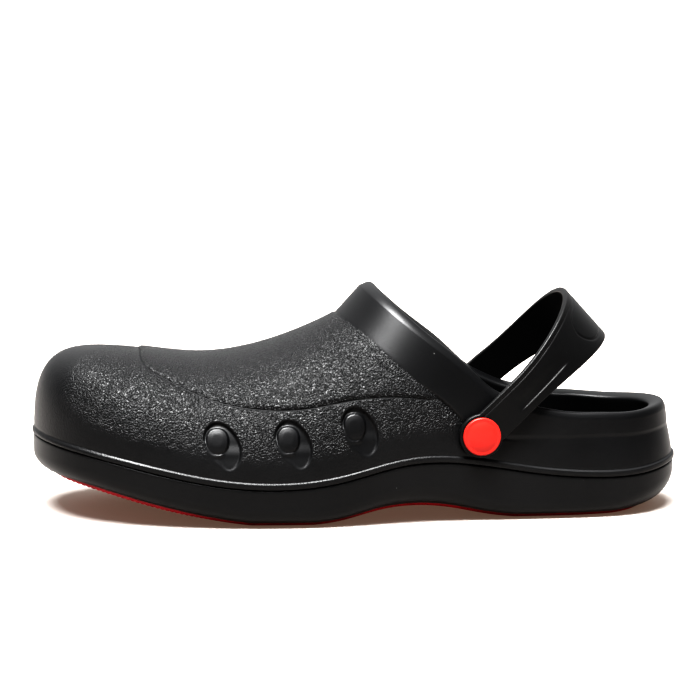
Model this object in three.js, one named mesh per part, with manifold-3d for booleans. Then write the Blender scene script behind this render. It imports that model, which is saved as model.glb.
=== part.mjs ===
import * as THREE from "three";
import { mergeVertices } from "three/addons/utils/BufferGeometryUtils.js";
import Module from "manifold-3d";

const wasm = await Module();
wasm.setup();

// A left clog in millimetres. The toe points to -X, the lateral side faces -Y and the floor is z = 0.
const length = 289;
const ballWidth = 112;
const toeHeight = 73.0;
const instepHeight = 101;
const heelCollarHeight = 46.2;
const toeSeamHeight = 34.2;
const heelSeamHeight = 22;
const toeSpring = 17.8;
const archRise = 6.5;
const heelRise = 4.8;

// Upper
const wall = 4.5;
const collarWall = 6.4;
const collarFlare = 7.4;
const bandWidth = 19;
const bandStep = 0.7;
const panelStep = 0.8;
const beadHeight = 2.4;
const beadProud = 1.0;
const beadBlend = 0.6;
const toeRound = 28;
const toeRoundBlend = 16;
const heelRound = 37;
const heelRoundBlend = 14;
const crestLean = 3.0;
const crestLeanReach = 58;
const bandBlend = 1.2;
const flareAtSide = 0.16;

// Sole
const fitGap = 0.3;
const soleInset = 0.6;
const soleCorner = 5;
const outsoleThickness = 3.6;
const outsoleDrop = 1.8;
const outsoleLip = 1.5;
const pocketClear = 0.15;
const lugPitch = 11;
const lugGroove = 3;
const lugDepth = 1.6;
const lugRim = 3.5;
const insoleThickness = 3.5;
const insoleDish = 1.5;

// Vents, rivets and strap
const ventLength = 22;
const ventWidth = 14.6;
const ventDepth = 3.0;
const ventPlug = 9.6;
const ventEgg = 0.22;
const ventDrop = 3.1;
const ventLean = THREE.MathUtils.degToRad(17);
const rivetCap = 16.7;
const rivetCapRim = 1.5;
const rivetCapRise = 2.5;
const rivetBevel = 0.5;
const rivetShank = 6;
const rivetBack = 10;
const rivetBackDepth = 2.6;
const rivetGrip = 1.3;
const rivetClear = 3.2;
const rivetMedialLift = 2.7;
const strapReach = 70;
const strapArmPull = 0.62;
const strapBackPull = 0.34;
const strapLean = 0.3;
const strapTilt = THREE.MathUtils.degToRad(42.5);
const strapThickness = 2.9;
const strapBevel = 0.6;
const strapArmWidth = 15.8;
const strapBackWidth = 27;
const strapEndWidth = 19.4;

// Half widths of the outline as shares of half the ball width, along from the toe tip to the heel
const outlineRows = [
  { along: 0.0, lateral: -0.12, medial: 0.12 },
  { along: 0.03, lateral: 0.42, medial: 0.58 },
  { along: 0.08, lateral: 0.69, medial: 0.79 },
  { along: 0.16, lateral: 0.875, medial: 0.93 },
  { along: 0.26, lateral: 0.97, medial: 1.0 },
  { along: 0.36, lateral: 1.0, medial: 0.99 },
  { along: 0.46, lateral: 0.965, medial: 0.91 },
  { along: 0.56, lateral: 0.88, medial: 0.81 },
  { along: 0.66, lateral: 0.795, medial: 0.735 },
  { along: 0.76, lateral: 0.745, medial: 0.71 },
  { along: 0.86, lateral: 0.7, medial: 0.69 },
  { along: 0.93, lateral: 0.595, medial: 0.59 },
  { along: 0.975, lateral: 0.395, medial: 0.395 },
  { along: 1.0, lateral: 0.0, medial: 0.0 },
];

// seam is a share of the way from the heel seam to the toe seam height, crest a share of the way
// from the toe to the instep height, full the power of the cross-section's superellipse, proud a
// share of the bead, and corner a share of the sole's lower corner
const sectionRows = [
  { along: 0.0, seam: 1.0, crest: 0.0, full: 3.0, proud: 0.3, corner: 1.4 },
  { along: 0.08, seam: 0.69, crest: 0.0, full: 2.9, proud: 0.35, corner: 1.35 },
  { along: 0.16, seam: 0.28, crest: -0.045, full: 2.6, proud: 0.5, corner: 1.3 },
  { along: 0.26, seam: -0.2, crest: -0.145, full: 2.4, proud: 0.6, corner: 1.3 },
  { along: 0.36, seam: -0.39, crest: 0.025, full: 2.3, proud: 0.6, corner: 1.2 },
  { along: 0.46, seam: -0.16, crest: 0.46, full: 2.2, proud: 0.6, corner: 1.1 },
  { along: 0.56, seam: 0.36, crest: 1.01, full: 2.1, proud: 0.6, corner: 1.7 },
  { along: 0.66, seam: 0.3, crest: 1.33, full: 1.9, proud: 0.7, corner: 1.4 },
  { along: 0.76, seam: -0.09, crest: 1.44, full: 1.7, proud: 0.8, corner: 1.0 },
  { along: 0.86, seam: -0.3, crest: 1.33, full: 1.5, proud: 0.9, corner: 1.0 },
  { along: 0.93, seam: -0.26, crest: 1.11, full: 1.42, proud: 1.0, corner: 1.5 },
  { along: 1.0, seam: 0.0, crest: 0.89, full: 1.44, proud: 1.0, corner: 2.2 },
];

// The tread's side view: shares of the toe spring, the arch's rise and the heel's rise
const treadRows = [
  { along: 0.0, toe: 1.0, arch: 0.0, heel: 0.0 },
  { along: 0.08, toe: 0.84, arch: 0.0, heel: 0.0 },
  { along: 0.16, toe: 0.53, arch: 0.0, heel: 0.0 },
  { along: 0.22, toe: 0.3, arch: 0.0, heel: 0.0 },
  { along: 0.28, toe: 0.11, arch: 0.0, heel: 0.0 },
  { along: 0.34, toe: 0.0, arch: 0.0, heel: 0.0 },
  { along: 0.4, toe: 0.0, arch: 0.0, heel: 0.0 },
  { along: 0.46, toe: 0.0, arch: 0.26, heel: 0.0 },
  { along: 0.52, toe: 0.0, arch: 0.82, heel: 0.0 },
  { along: 0.57, toe: 0.0, arch: 1.0, heel: 0.0 },
  { along: 0.63, toe: 0.0, arch: 0.78, heel: 0.0 },
  { along: 0.69, toe: 0.0, arch: 0.26, heel: 0.0 },
  { along: 0.75, toe: 0.0, arch: 0.0, heel: 0.0 },
  { along: 0.86, toe: 0.0, arch: 0.0, heel: 0.0 },
  { along: 0.92, toe: 0.0, arch: 0.0, heel: 0.22 },
  { along: 0.96, toe: 0.0, arch: 0.0, heel: 0.55 },
  { along: 1.0, toe: 0.0, arch: 0.0, heel: 1.0 },
];
const treadSink = 0.3;

// The collar's edge in side view: rise is a share of the way from the heel collar to the instep
// height, band a share of the band's width
const collarRows = [
  { along: 0.479, rise: 1.134, band: 1.0 },
  { along: 0.514, rise: 0.998, band: 1.0 },
  { along: 0.586, rise: 0.69, band: 1.0 },
  { along: 0.652, rise: 0.41, band: 1.0 },
  { along: 0.686, rise: 0.246, band: 0.95 },
  { along: 0.714, rise: 0.161, band: 0.84 },
  { along: 0.741, rise: 0.1, band: 0.74 },
  { along: 0.772, rise: 0.057, band: 0.65 },
  { along: 0.81, rise: 0.023, band: 0.58 },
  { along: 0.862, rise: 0.009, band: 0.54 },
  { along: 0.907, rise: 0.0, band: 0.53 },
  { along: 0.948, rise: 0.011, band: 0.53 },
  { along: 1.0, rise: 0.045, band: 0.53 },
];

// The raised vamp panel's edge: rise is the share of the way up from the seam to the crest
const panelRows = [
  { along: 0.148, rise: 0.985 },
  { along: 0.164, rise: 0.925 },
  { along: 0.204, rise: 0.835 },
  { along: 0.237, rise: 0.771 },
  { along: 0.269, rise: 0.715 },
  { along: 0.333, rise: 0.63 },
  { along: 0.398, rise: 0.565 },
  { along: 0.461, rise: 0.521 },
  { along: 0.522, rise: 0.446 },
  { along: 0.589, rise: 0.356 },
];

const ventRows = [
  { along: 0.271, rise: 0.395 },
  { along: 0.377, rise: 0.379 },
  { along: 0.478, rise: 0.339 },
];
const rivetAlong = 0.671;

// Natural cubic spline through the points (xs, ys)
function curveThrough(xs, ys) {
  const last = xs.length - 1;
  const bend = new Array(last + 1).fill(0);
  const sweep = new Array(last + 1).fill(0);
  for (let i = 1; i < last; i += 1) {
    const before = xs[i] - xs[i - 1];
    const after = xs[i + 1] - xs[i];
    const pivot = 2 * (before + after) - before * sweep[i - 1];
    const turn = (ys[i + 1] - ys[i]) / after - (ys[i] - ys[i - 1]) / before;
    sweep[i] = after / pivot;
    bend[i] = (6 * turn - before * bend[i - 1]) / pivot;
  }
  for (let i = last - 1; i > 0; i -= 1) {
    bend[i] -= sweep[i] * bend[i + 1];
  }
  return (x) => {
    let i = 0;
    while (i < last - 1 && x > xs[i + 1]) {
      i += 1;
    }
    const step = xs[i + 1] - xs[i];
    const low = (xs[i + 1] - x) / step;
    const high = (x - xs[i]) / step;
    const sag = ((low ** 3 - low) * bend[i] + (high ** 3 - high) * bend[i + 1]) * step * step / 6;
    return low * ys[i] + high * ys[i + 1] + sag;
  };
}

const column = (rows, name) => curveThrough(rows.map((row) => row.along), rows.map((row) => row[name]));
const clamp = THREE.MathUtils.clamp;
const smoothstep = THREE.MathUtils.smoothstep;
const softMax = (a, b, soft) => (a + b + Math.hypot(a - b, soft)) / 2;
const softMin = (a, b, soft) => (a + b - Math.hypot(a - b, soft)) / 2;
const alongOf = (x) => clamp(x / length + 0.5, 0, 1);

// Side names: the lateral side is -1 and the medial side is 1
const lateral = -1;
const medial = 1;

// The outline goes round once: angle 0 is the heel, pi the toe tip, and the medial side comes back
function roundOutline() {
  const turn = 2 * Math.PI;
  const round = outlineRows.map((row) => ({
    angle: Math.acos(2 * row.along - 1),
    out: -row.lateral * ballWidth / 2,
  })).reverse();
  for (const row of outlineRows.slice(1, -1)) {
    round.push({ angle: turn - Math.acos(2 * row.along - 1), out: row.medial * ballWidth / 2 });
  }
  const copies = [-turn, 0, turn].flatMap((shift) => (
    round.map((point) => ({ angle: point.angle + shift, out: point.out }))));
  return curveThrough(copies.map((point) => point.angle), copies.map((point) => point.out));
}

const outlineY = roundOutline();
const seamShare = column(sectionRows, "seam");
const crestShare = column(sectionRows, "crest");
const fullAt = column(sectionRows, "full");
const proudShare = column(sectionRows, "proud");
const cornerShare = column(sectionRows, "corner");
const treadToe = column(treadRows, "toe");
const treadArch = column(treadRows, "arch");
const treadHeel = column(treadRows, "heel");
const collarShare = column(collarRows, "rise");
const bandShare = column(collarRows, "band");
const panelShare = column(panelRows, "rise");

const seamZ = (x) => heelSeamHeight + (toeSeamHeight - heelSeamHeight) * seamShare(alongOf(x));
const crestZ = (x) => toeHeight + (instepHeight - toeHeight) * crestShare(alongOf(x));
const collarZ = (x) => (
  heelCollarHeight + (instepHeight - heelCollarHeight) * collarShare(alongOf(x)));
const proudAt = (x) => beadProud * proudShare(alongOf(x));
const cornerAt = (x) => soleCorner * cornerShare(alongOf(x));
const slopeOf = (curve, x) => (curve(x + 0.5) - curve(x - 0.5));

// Height of the tread above the floor, flat at the ball and at the heel
function treadZ(x) {
  const along = alongOf(x);
  const lift = toeSpring * treadToe(along) + archRise * treadArch(along) + heelRise * treadHeel(along);
  return Math.max(0, lift - treadSink);
}

// Point of the outline at an angle, moved in by an inset at right angles to the edge
function edgePoint(side, angle, inset) {
  const at = (turn) => {
    const round = side === lateral ? turn : 2 * Math.PI - turn;
    return new THREE.Vector2(length / 2 * Math.cos(turn), outlineY(round));
  };
  const point = at(angle);
  const along = at(angle + 0.002).sub(at(angle - 0.002)).normalize();
  const inward = new THREE.Vector2(-along.y, along.x).multiplyScalar(side);
  if (angle === 0 || angle === Math.PI) {
    inward.set(angle === 0 ? -1 : 1, 0);
  }
  return point.addScaledVector(inward, inset);
}

// The middle line under the crest, kept clear of the round toe and heel
function middlePoint(angle) {
  const x = length / 2 * Math.cos(angle);
  const soft = softMin(x, length / 2 - heelRound, heelRoundBlend);
  const middle = softMax(soft, toeRound - length / 2, toeRoundBlend);
  const turn = Math.acos(clamp(2 * middle / length, -1, 1));
  return new THREE.Vector2(middle, (outlineY(turn) + outlineY(2 * Math.PI - turn)) / 2);
}

// The crest runs a little to the medial side of the middle over the instep
const instepBack = 0.14;
function crestPoint(angle) {
  const point = middlePoint(angle);
  const instep = (point.x + length * instepBack) / crestLeanReach;
  point.y += crestLean * Math.exp(-instep * instep);
  return point;
}

// Shares of the way out and up on the section's superellipse
function sectionShares(full, turn) {
  const across = Math.cos(turn);
  const upward = Math.sin(turn);
  const size = (Math.abs(across) ** full + upward ** full) ** (1 / full);
  return { out: turn === Math.PI / 2 ? 0 : across / size, up: upward / size };
}

function turnAtRise(full, rise) {
  const held = clamp(rise, 0, 0.9999);
  return Math.atan(held / (1 - held ** full) ** (1 / full));
}

// The smooth outside of the upper, or its inside when inset is the wall
function shellPoint(side, angle, turn, inset) {
  const edge = edgePoint(side, angle, inset);
  const top = crestPoint(angle);
  const tilt = Math.atan(slopeOf(crestZ, top.x));
  const drop = inset * Math.cos(tilt);
  const push = inset * Math.sin(tilt);
  top.x += push;
  const share = sectionShares(fullAt(alongOf(length / 2 * Math.cos(angle))), turn);
  const x = top.x + (edge.x - top.x) * share.out;
  const y = top.y + (edge.y - top.y) * share.out;
  const low = seamZ(edge.x);
  return new THREE.Vector3(x, y, low + (crestZ(x - push) - drop - low) * share.up);
}

// Outward direction of the smooth shell
function shellNormal(side, angle, turn) {
  if (turn > Math.PI / 2 - 0.001) {
    const slope = slopeOf(crestZ, crestPoint(angle).x);
    return new THREE.Vector3(-slope, 0, 1).normalize();
  }
  const step = 0.01;
  const a = clamp(angle, step, Math.PI - step);
  const t = clamp(turn, step, Math.PI / 2 - step);
  const along = shellPoint(side, a + step, t, 0).sub(shellPoint(side, a - step, t, 0));
  const upward = shellPoint(side, a, t + step, 0).sub(shellPoint(side, a, t - step, 0));
  const normal = along.cross(upward).multiplyScalar(side).normalize();
  if (angle === 0 || angle === Math.PI) {
    normal.y = 0;
  }
  return normal;
}

// Distance of a point below the collar's edge, square to that edge in side view
function belowCollar(point) {
  return (collarZ(point.x) - point.z) * Math.cos(Math.atan(slopeOf(collarZ, point.x)));
}

// Relief of the outside: the bead along the seam, the vamp panel and the flared band of the collar
function reliefAt(point, angle, rise) {
  const low = seamZ(point.x);
  const aboveBead = smoothstep(point.z - low, beadHeight, beadHeight + beadBlend);
  let relief = -proudAt(point.x) * aboveBead;
  const along = alongOf(length / 2 * Math.cos(angle));
  const depth = belowCollar(point);
  const band = bandWidth * bandShare(clamp(alongOf(point.x), collarRows[0].along, 1));
  const onBand = 1 - smoothstep(depth, band - bandBlend, band + bandBlend);
  const behindNose = smoothstep(point.x / length + 0.5, panelRows[0].along, panelRows[0].along + 0.02);
  const edge = panelShare(clamp(along, panelRows[0].along, panelRows[panelRows.length - 1].along));
  const onPanel = smoothstep(rise, edge - 0.02, edge + 0.02) * behindNose * (1 - onBand);
  const faded = 1 - smoothstep(along, 0.56, 0.6);
  relief += panelStep * onPanel * faded;
  const flareShare = flareAtSide + (1 - flareAtSide) * rise ** 3;
  const flare = collarFlare * flareShare * clamp(1 - depth / band, 0, 1.1);
  return relief + bandStep * onBand + flare * onBand;
}

function outerPoint(side, angle, turn) {
  const point = shellPoint(side, angle, turn, 0);
  const rise = sectionShares(fullAt(alongOf(length / 2 * Math.cos(angle))), turn).up;
  const relief = reliefAt(point, angle, rise);
  return point.addScaledVector(shellNormal(side, angle, turn), relief);
}

// Wall from the smooth outside to the inside, a little thicker towards the collar
function wallAt(side, angle, turn) {
  const outer = shellPoint(side, angle, turn, 0);
  const near = 1 - smoothstep(belowCollar(outer), collarWall, 3 * collarWall);
  return wall + proudAt(outer.x) + (collarWall - wall) * near;
}

const innerPoint = (side, angle, turn) => shellPoint(side, angle, turn, wallAt(side, angle, turn));

// Halving search for the place where a rising test turns true
function findPlace(low, high, test) {
  let below = low;
  let above = high;
  for (let i = 0; i < 40; i += 1) {
    const middle = (below + above) / 2;
    if (test(middle)) {
      above = middle;
    } else {
      below = middle;
    }
  }
  return (below + above) / 2;
}

const lipRise = collarWall / 2;
const topTurn = Math.PI / 2;
const overCollar = (side, angle, turn) => belowCollar(outerPoint(side, angle, turn)) < lipRise;

// The angle where the crest meets the collar: the top of the collar over the instep
const apexAngle = findPlace(Math.PI * 0.75, Math.PI * 0.25, (angle) => overCollar(lateral, angle, topTurn));

const rearColumns = 24;
const frontColumns = 28;
const lastColumn = rearColumns + frontColumns;
const outerRows = 10;
const innerRows = 4;

// Columns stand closer behind the apex, where the collar falls steeply
function columnAngle(i) {
  if (i >= rearColumns) {
    return apexAngle + (Math.PI - apexAngle) * (i - rearColumns) / frontColumns;
  }
  return apexAngle * (1 - (1 - i / rearColumns) ** 1.5);
}

function columnTop(side, i) {
  if (i >= rearColumns) {
    return topTurn;
  }
  const angle = columnAngle(i);
  return findPlace(0, topTurn, (turn) => overCollar(side, angle, turn));
}

// Turns from the seam to the top of a column, with two rows at the bead
function outerTurns(angle, top, count) {
  const x = length / 2 * Math.cos(angle);
  const full = fullAt(alongOf(x));
  const height = crestZ(crestPoint(angle).x) - seamZ(x);
  const rises = [0, beadHeight / height, (beadHeight + 1.4 * beadBlend) / height];
  const bead = rises.map((rise) => turnAtRise(full, rise));
  const start = bead[2];
  for (let j = 1; j <= count; j += 1) {
    bead.push(j === count ? top : start + (top - start) * j / count);
  }
  return bead;
}

const sharedSide = (side, i) => (i === 0 || i === lastColumn ? lateral : side);

function outerColumn(side, i) {
  const angle = columnAngle(i);
  const turns = outerTurns(angle, columnTop(sharedSide(side, i), i), outerRows);
  return turns.map((turn) => outerPoint(turn === topTurn ? lateral : sharedSide(side, i), angle, turn));
}

// Turn at the top edge of the insole
function insoleTurn(angle) {
  const x = length / 2 * Math.cos(angle);
  const rise = (insoleThickness + insoleDish) / (crestZ(crestPoint(angle).x) - seamZ(x));
  return turnAtRise(fullAt(alongOf(x)), rise);
}

function innerColumn(side, i) {
  const angle = columnAngle(i);
  const top = columnTop(sharedSide(side, i), i);
  const low = insoleTurn(angle);
  const turns = [0];
  for (let j = 0; j < innerRows; j += 1) {
    turns.push(low + (top - low) * j / innerRows);
  }
  turns.push(top);
  return turns.map((turn) => innerPoint(turn === topTurn ? lateral : sharedSide(side, i), angle, turn));
}

// Faces of a solid, gathered as loose corners
function addFace(corners, a, b, c, flip) {
  const thin = 1e-9;
  if (a.distanceToSquared(b) < thin || b.distanceToSquared(c) < thin || c.distanceToSquared(a) < thin) {
    return;
  }
  const face = flip ? [a, c, b] : [a, b, c];
  for (const point of face) {
    corners.push(point.x, point.y, point.z);
  }
}

// Two triangles for each cell between neighbouring rows of points
function addSheet(corners, rows, flip) {
  for (let i = 0; i + 1 < rows.length; i += 1) {
    for (let j = 0; j + 1 < rows[i].length; j += 1) {
      addFace(corners, rows[i][j], rows[i + 1][j], rows[i + 1][j + 1], flip);
      addFace(corners, rows[i][j], rows[i + 1][j + 1], rows[i][j + 1], flip);
    }
  }
}

function closedGeometry(corners) {
  const loose = new THREE.BufferGeometry();
  loose.setAttribute("position", new THREE.Float32BufferAttribute(corners, 3));
  return mergeVertices(loose, 1e-4);
}

function toSolid(geometry) {
  const bare = geometry.clone();
  bare.deleteAttribute("normal");
  bare.deleteAttribute("uv");
  const merged = mergeVertices(bare, 1e-4);
  return new wasm.Manifold(new wasm.Mesh({
    numProp: 3,
    vertProperties: new Float32Array(merged.attributes.position.array),
    triVerts: new Uint32Array(merged.index.array),
  }));
}

function toGeometry(solid) {
  const mesh = solid.getMesh();
  const geometry = new THREE.BufferGeometry();
  geometry.setAttribute("position", new THREE.Float32BufferAttribute(mesh.vertProperties, 3));
  geometry.setIndex([...mesh.triVerts]);
  return geometry;
}

// Rounded lip of the collar between the outer and the inner edge, point by point round the loop
function collarLip(outerColumns, innerColumns) {
  const edges = [];
  for (let i = 0; i <= rearColumns; i += 1) {
    edges.push([outerColumns[0][i].at(-1), innerColumns[0][i].at(-1)]);
  }
  for (let i = rearColumns - 1; i > 0; i -= 1) {
    edges.push([outerColumns[1][i].at(-1), innerColumns[1][i].at(-1)]);
  }
  const count = edges.length;
  return edges.map(([outer, inner], place) => {
    const next = edges[(place + 1) % count][0];
    const before = edges[(place + count - 1) % count][0];
    const middle = outer.clone().add(inner).multiplyScalar(0.5);
    const across = outer.clone().sub(middle);
    const away = next.clone().sub(before).cross(across).normalize().multiplyScalar(across.length());
    return [0.25, 0.5, 0.75].map((share) => middle.clone()
      .addScaledVector(across, Math.cos(Math.PI * share))
      .addScaledVector(away, Math.sin(Math.PI * share)));
  });
}

// One hollow shell: open at the collar and underneath, where the sole closes it
function shellGeometry() {
  const sides = [lateral, medial];
  const columns = [...Array(lastColumn + 1).keys()];
  const outer = sides.map((side) => columns.map((i) => outerColumn(side, i)));
  const inner = sides.map((side) => columns.map((i) => innerColumn(side, i)));
  const lip = collarLip(outer, inner);
  const corners = [];
  sides.forEach((side, s) => {
    const rings = [];
    for (let i = 0; i <= rearColumns; i += 1) {
      const place = side === lateral ? i : (2 * rearColumns - i) % (2 * rearColumns);
      const down = [...inner[s][i]].reverse();
      rings.push([...outer[s][i], ...lip[place], ...down, outer[s][i][0]]);
    }
    const flip = side === lateral;
    addSheet(corners, rings, flip);
    addSheet(corners, outer[s].slice(rearColumns), flip);
    addSheet(corners, inner[s].slice(rearColumns), !flip);
    const under = columns.slice(rearColumns).map((i) => [inner[s][i][0], outer[s][i][0]]);
    addSheet(corners, under, flip);
  });
  return closedGeometry(corners);
}

// Place and directions on the outside of the upper: out of the wall, up the wall and along it
function wallFrame(side, along, rise) {
  const angle = Math.acos(2 * along - 1);
  const turn = turnAtRise(fullAt(along), rise);
  const out = shellNormal(side, angle, turn);
  const up = new THREE.Vector3(0, 0, 1).projectOnPlane(out).normalize();
  const back = up.clone().cross(out).multiplyScalar(-side);
  return { point: outerPoint(side, angle, turn), out, up, back };
}

// A blind vent: an egg-shaped recess that runs out at its lower end, with a round plug left standing
function ventCutter(side, row) {
  const sink = 0.95 * ventDepth;
  const sides = 24;
  const eggPoints = [];
  const plugPoints = [];
  for (let i = 0; i < sides; i += 1) {
    const across = -Math.sin(2 * Math.PI * i / sides);
    const upward = Math.cos(2 * Math.PI * i / sides);
    const eggHalf = ventWidth / 2 * (1 + ventEgg * upward);
    eggPoints.push(new THREE.Vector2(eggHalf * across, ventLength / 2 * upward - ventDrop));
    plugPoints.push(new THREE.Vector2(ventPlug / 2 * across, ventPlug / 2 * upward));
  }
  const egg = new THREE.Shape(eggPoints);
  egg.holes.push(new THREE.Path(plugPoints));
  const cutter = new THREE.ExtrudeGeometry(egg, { depth: 4 * sink, bevelEnabled: false });
  const frame = wallFrame(side, row.along, row.rise);
  const place = new THREE.Matrix4().makeBasis(frame.back.multiplyScalar(-side), frame.up, frame.out);
  place.setPosition(frame.point.addScaledVector(frame.out, -sink));
  place.multiply(new THREE.Matrix4().makeRotationZ(-side * ventLean));
  place.multiply(new THREE.Matrix4().makeRotationX(-Math.atan(sink / ventLength)));
  cutter.applyMatrix4(place);
  return toSolid(cutter);
}

// Farthest point of a surface along a direction, within a radius of the rivet's axis
function reachWithin(surface, rivet, direction, radius) {
  const steps = 14;
  let reach = -Infinity;
  for (let i = -steps; i <= steps; i += 1) {
    for (let j = -steps; j <= steps; j += 1) {
      const angle = rivet.angle + 2.4 * radius / length * 2 * i / steps;
      const turn = Math.max(0, rivet.turn + radius / instepHeight * 2.6 * j / steps);
      const offset = surface(rivet.side, angle, turn).sub(rivet.point);
      const ahead = offset.dot(direction);
      if (offset.addScaledVector(direction, -ahead).length() <= radius) {
        reach = Math.max(reach, ahead);
      }
    }
  }
  return reach;
}

// Where a rivet goes through the wall, just clear of the insole's edge
function rivetPlace(side) {
  const x = (rivetAlong - 0.5) * length;
  const lift = rivetClear + (side === medial ? rivetMedialLift : 0);
  const height = insoleThickness + insoleDish + rivetBack / 2 + lift;
  const angle = Math.acos(2 * rivetAlong - 1);
  const turn = turnAtRise(fullAt(rivetAlong), height / (crestZ(x) - seamZ(x)));
  return { side, angle, turn, point: outerPoint(side, angle, turn), out: shellNormal(side, angle, turn) };
}

// The strap is a flat loop in a plane through both rivets, tilted up to the back
function strapFrame() {
  const rivets = [rivetPlace(lateral), rivetPlace(medial)];
  const across = rivets[1].point.clone().sub(rivets[0].point);
  const span = across.length();
  across.normalize();
  const back = new THREE.Vector3(Math.cos(strapTilt), 0, Math.sin(strapTilt));
  back.projectOnPlane(across).normalize();
  const up = back.clone().cross(across);
  for (const rivet of rivets) {
    const lean = -rivet.out.dot(back) / rivet.out.dot(across);
    rivet.along = back.clone().addScaledVector(across, strapLean * lean).normalize();
    rivet.axis = rivet.along.clone().cross(up).multiplyScalar(-rivet.side).normalize();
    rivet.seat = reachWithin(outerPoint, rivet, rivet.axis, strapEndWidth / 2) + fitGap;
    const inward = rivet.axis.clone().negate();
    rivet.backSeat = reachWithin(innerPoint, rivet, inward, rivetBack / 2) + fitGap;
    rivet.line = rivet.point.clone().addScaledVector(rivet.axis, rivet.seat + strapThickness / 2);
  }
  return { rivets, across, back, up, span };
}

const strapPlane = strapFrame();

// Middle line of the strap from the lateral to the medial rivet, round the back of the heel
function strapLine() {
  const [near, far] = strapPlane.rivets;
  const middle = near.line.clone().add(far.line).multiplyScalar(0.5);
  const end = middle.addScaledVector(strapPlane.back, strapReach);
  const arm = strapReach * strapArmPull;
  const bend = strapPlane.span * strapBackPull;
  const halves = new THREE.CurvePath();
  halves.add(new THREE.CubicBezierCurve3(
    near.line,
    near.line.clone().addScaledVector(near.along, arm),
    end.clone().addScaledVector(strapPlane.across, -bend),
    end,
  ));
  halves.add(new THREE.CubicBezierCurve3(
    end,
    end.clone().addScaledVector(strapPlane.across, bend),
    far.line.clone().addScaledVector(far.along, arm),
    far.line,
  ));
  return halves;
}

// Half the strap's width at a distance from the nearer rivet, negative over the round end
function strapHalfWidth(distance, halfLength) {
  const end = strapEndWidth / 2;
  const round = Math.sqrt(Math.max(0, end * end - distance * distance));
  if (distance < 0) {
    return round;
  }
  const widen = smoothstep(distance, 0.3 * halfLength, 0.95 * halfLength);
  const arm = (strapArmWidth + (strapBackWidth - strapArmWidth) * widen) / 2;
  return Math.max(round, arm);
}

function strapRing(point, along, half) {
  const face = strapPlane.up.clone().cross(along).normalize();
  const bevel = Math.min(strapBevel, half / 2);
  const deep = strapThickness / 2;
  const outline = [
    [half - bevel, deep], [half, deep - bevel], [half, bevel - deep], [half - bevel, -deep],
    [bevel - half, -deep], [-half, bevel - deep], [-half, deep - bevel], [bevel - half, deep],
    [half - bevel, deep],
  ];
  return outline.map(([up, out]) => point.clone()
    .addScaledVector(strapPlane.up, up)
    .addScaledVector(face, out));
}

function boreSolid(rivet) {
  const radius = rivetShank / 2 + fitGap;
  const bore = new THREE.CylinderGeometry(radius, radius, strapEndWidth * 2, 20);
  bore.applyQuaternion(new THREE.Quaternion().setFromUnitVectors(new THREE.Vector3(0, 1, 0), rivet.axis));
  bore.translate(rivet.point.x, rivet.point.y, rivet.point.z);
  return toSolid(bore);
}

function strapGeometry() {
  const line = strapLine();
  const halfLength = line.getLength() / 2;
  const endSteps = 5;
  const armSteps = 32;
  const rings = [];
  const [near, far] = strapPlane.rivets;
  const addEnd = (rivet, direction, i) => {
    const distance = -strapEndWidth / 2 * Math.cos(Math.PI / 2 * i / endSteps);
    const point = rivet.line.clone().addScaledVector(rivet.along, distance);
    rings.push(strapRing(point, direction, strapHalfWidth(distance, halfLength)));
  };
  for (let i = 0; i < endSteps; i += 1) {
    addEnd(near, near.along, i);
  }
  for (let i = 0; i <= armSteps; i += 1) {
    const share = i / armSteps;
    const distance = halfLength * (1 - Math.abs(1 - 2 * share));
    const half = strapHalfWidth(distance, halfLength);
    rings.push(strapRing(line.getPointAt(share), line.getTangentAt(share), half));
  }
  for (let i = endSteps - 1; i >= 0; i -= 1) {
    addEnd(far, far.along.clone().negate(), i);
  }
  const corners = [];
  addSheet(corners, rings, true);
  let solid = toSolid(closedGeometry(corners));
  for (const rivet of strapPlane.rivets) {
    solid = solid.subtract(boreSolid(rivet));
  }
  return toGeometry(solid);
}

// A turned piece whose profile of [radius, height] runs along the rivet's axis
function turnedGeometry(profile, rivet) {
  const points = profile.map(([radius, height]) => new THREE.Vector2(radius, height));
  const turned = new THREE.LatheGeometry(points, 16);
  turned.applyQuaternion(new THREE.Quaternion().setFromUnitVectors(new THREE.Vector3(0, 1, 0), rivet.axis));
  turned.translate(rivet.point.x, rivet.point.y, rivet.point.z);
  turned.deleteAttribute("normal");
  turned.deleteAttribute("uv");
  return mergeVertices(turned, 1e-4);
}

// Cap with a low dome and a shank that reaches into the back piece
function rivetCapGeometry(rivet) {
  const head = rivet.seat + strapThickness + fitGap;
  const shank = rivetShank / 2;
  const edge = rivetCap / 2;
  const tip = -rivet.backSeat - rivetGrip;
  const dome = [1, 0.8, 0.55, 0.3, 0].map((share) => (
    [(edge - rivetBevel) * share, head + rivetCapRim + (rivetCapRise - rivetCapRim) * (1 - share * share)]));
  return turnedGeometry([[0, tip], [shank, tip], [shank, head], [edge - rivetBevel, head],
    [edge, head + rivetBevel], [edge, head + rivetCapRim - rivetBevel], ...dome], rivet);
}

// Round back piece inside the wall, with a blind hole for the shank
function rivetBackGeometry(rivet) {
  const face = -rivet.backSeat;
  const bottom = face - rivetGrip - fitGap;
  const end = face - rivetBackDepth;
  const hole = rivetShank / 2 + fitGap;
  const edge = rivetBack / 2;
  return turnedGeometry([[0, end], [edge - rivetBevel, end], [edge, end + rivetBevel],
    [edge, face], [hole, face], [hole, bottom], [0, bottom]], rivet);
}

function upperGeometry() {
  let solid = toSolid(shellGeometry());
  for (const side of [lateral, medial]) {
    for (const row of ventRows) {
      solid = solid.subtract(ventCutter(side, row));
    }
  }
  for (const rivet of strapPlane.rivets) {
    solid = solid.subtract(boreSolid(rivet));
  }
  return toGeometry(solid);
}

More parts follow.
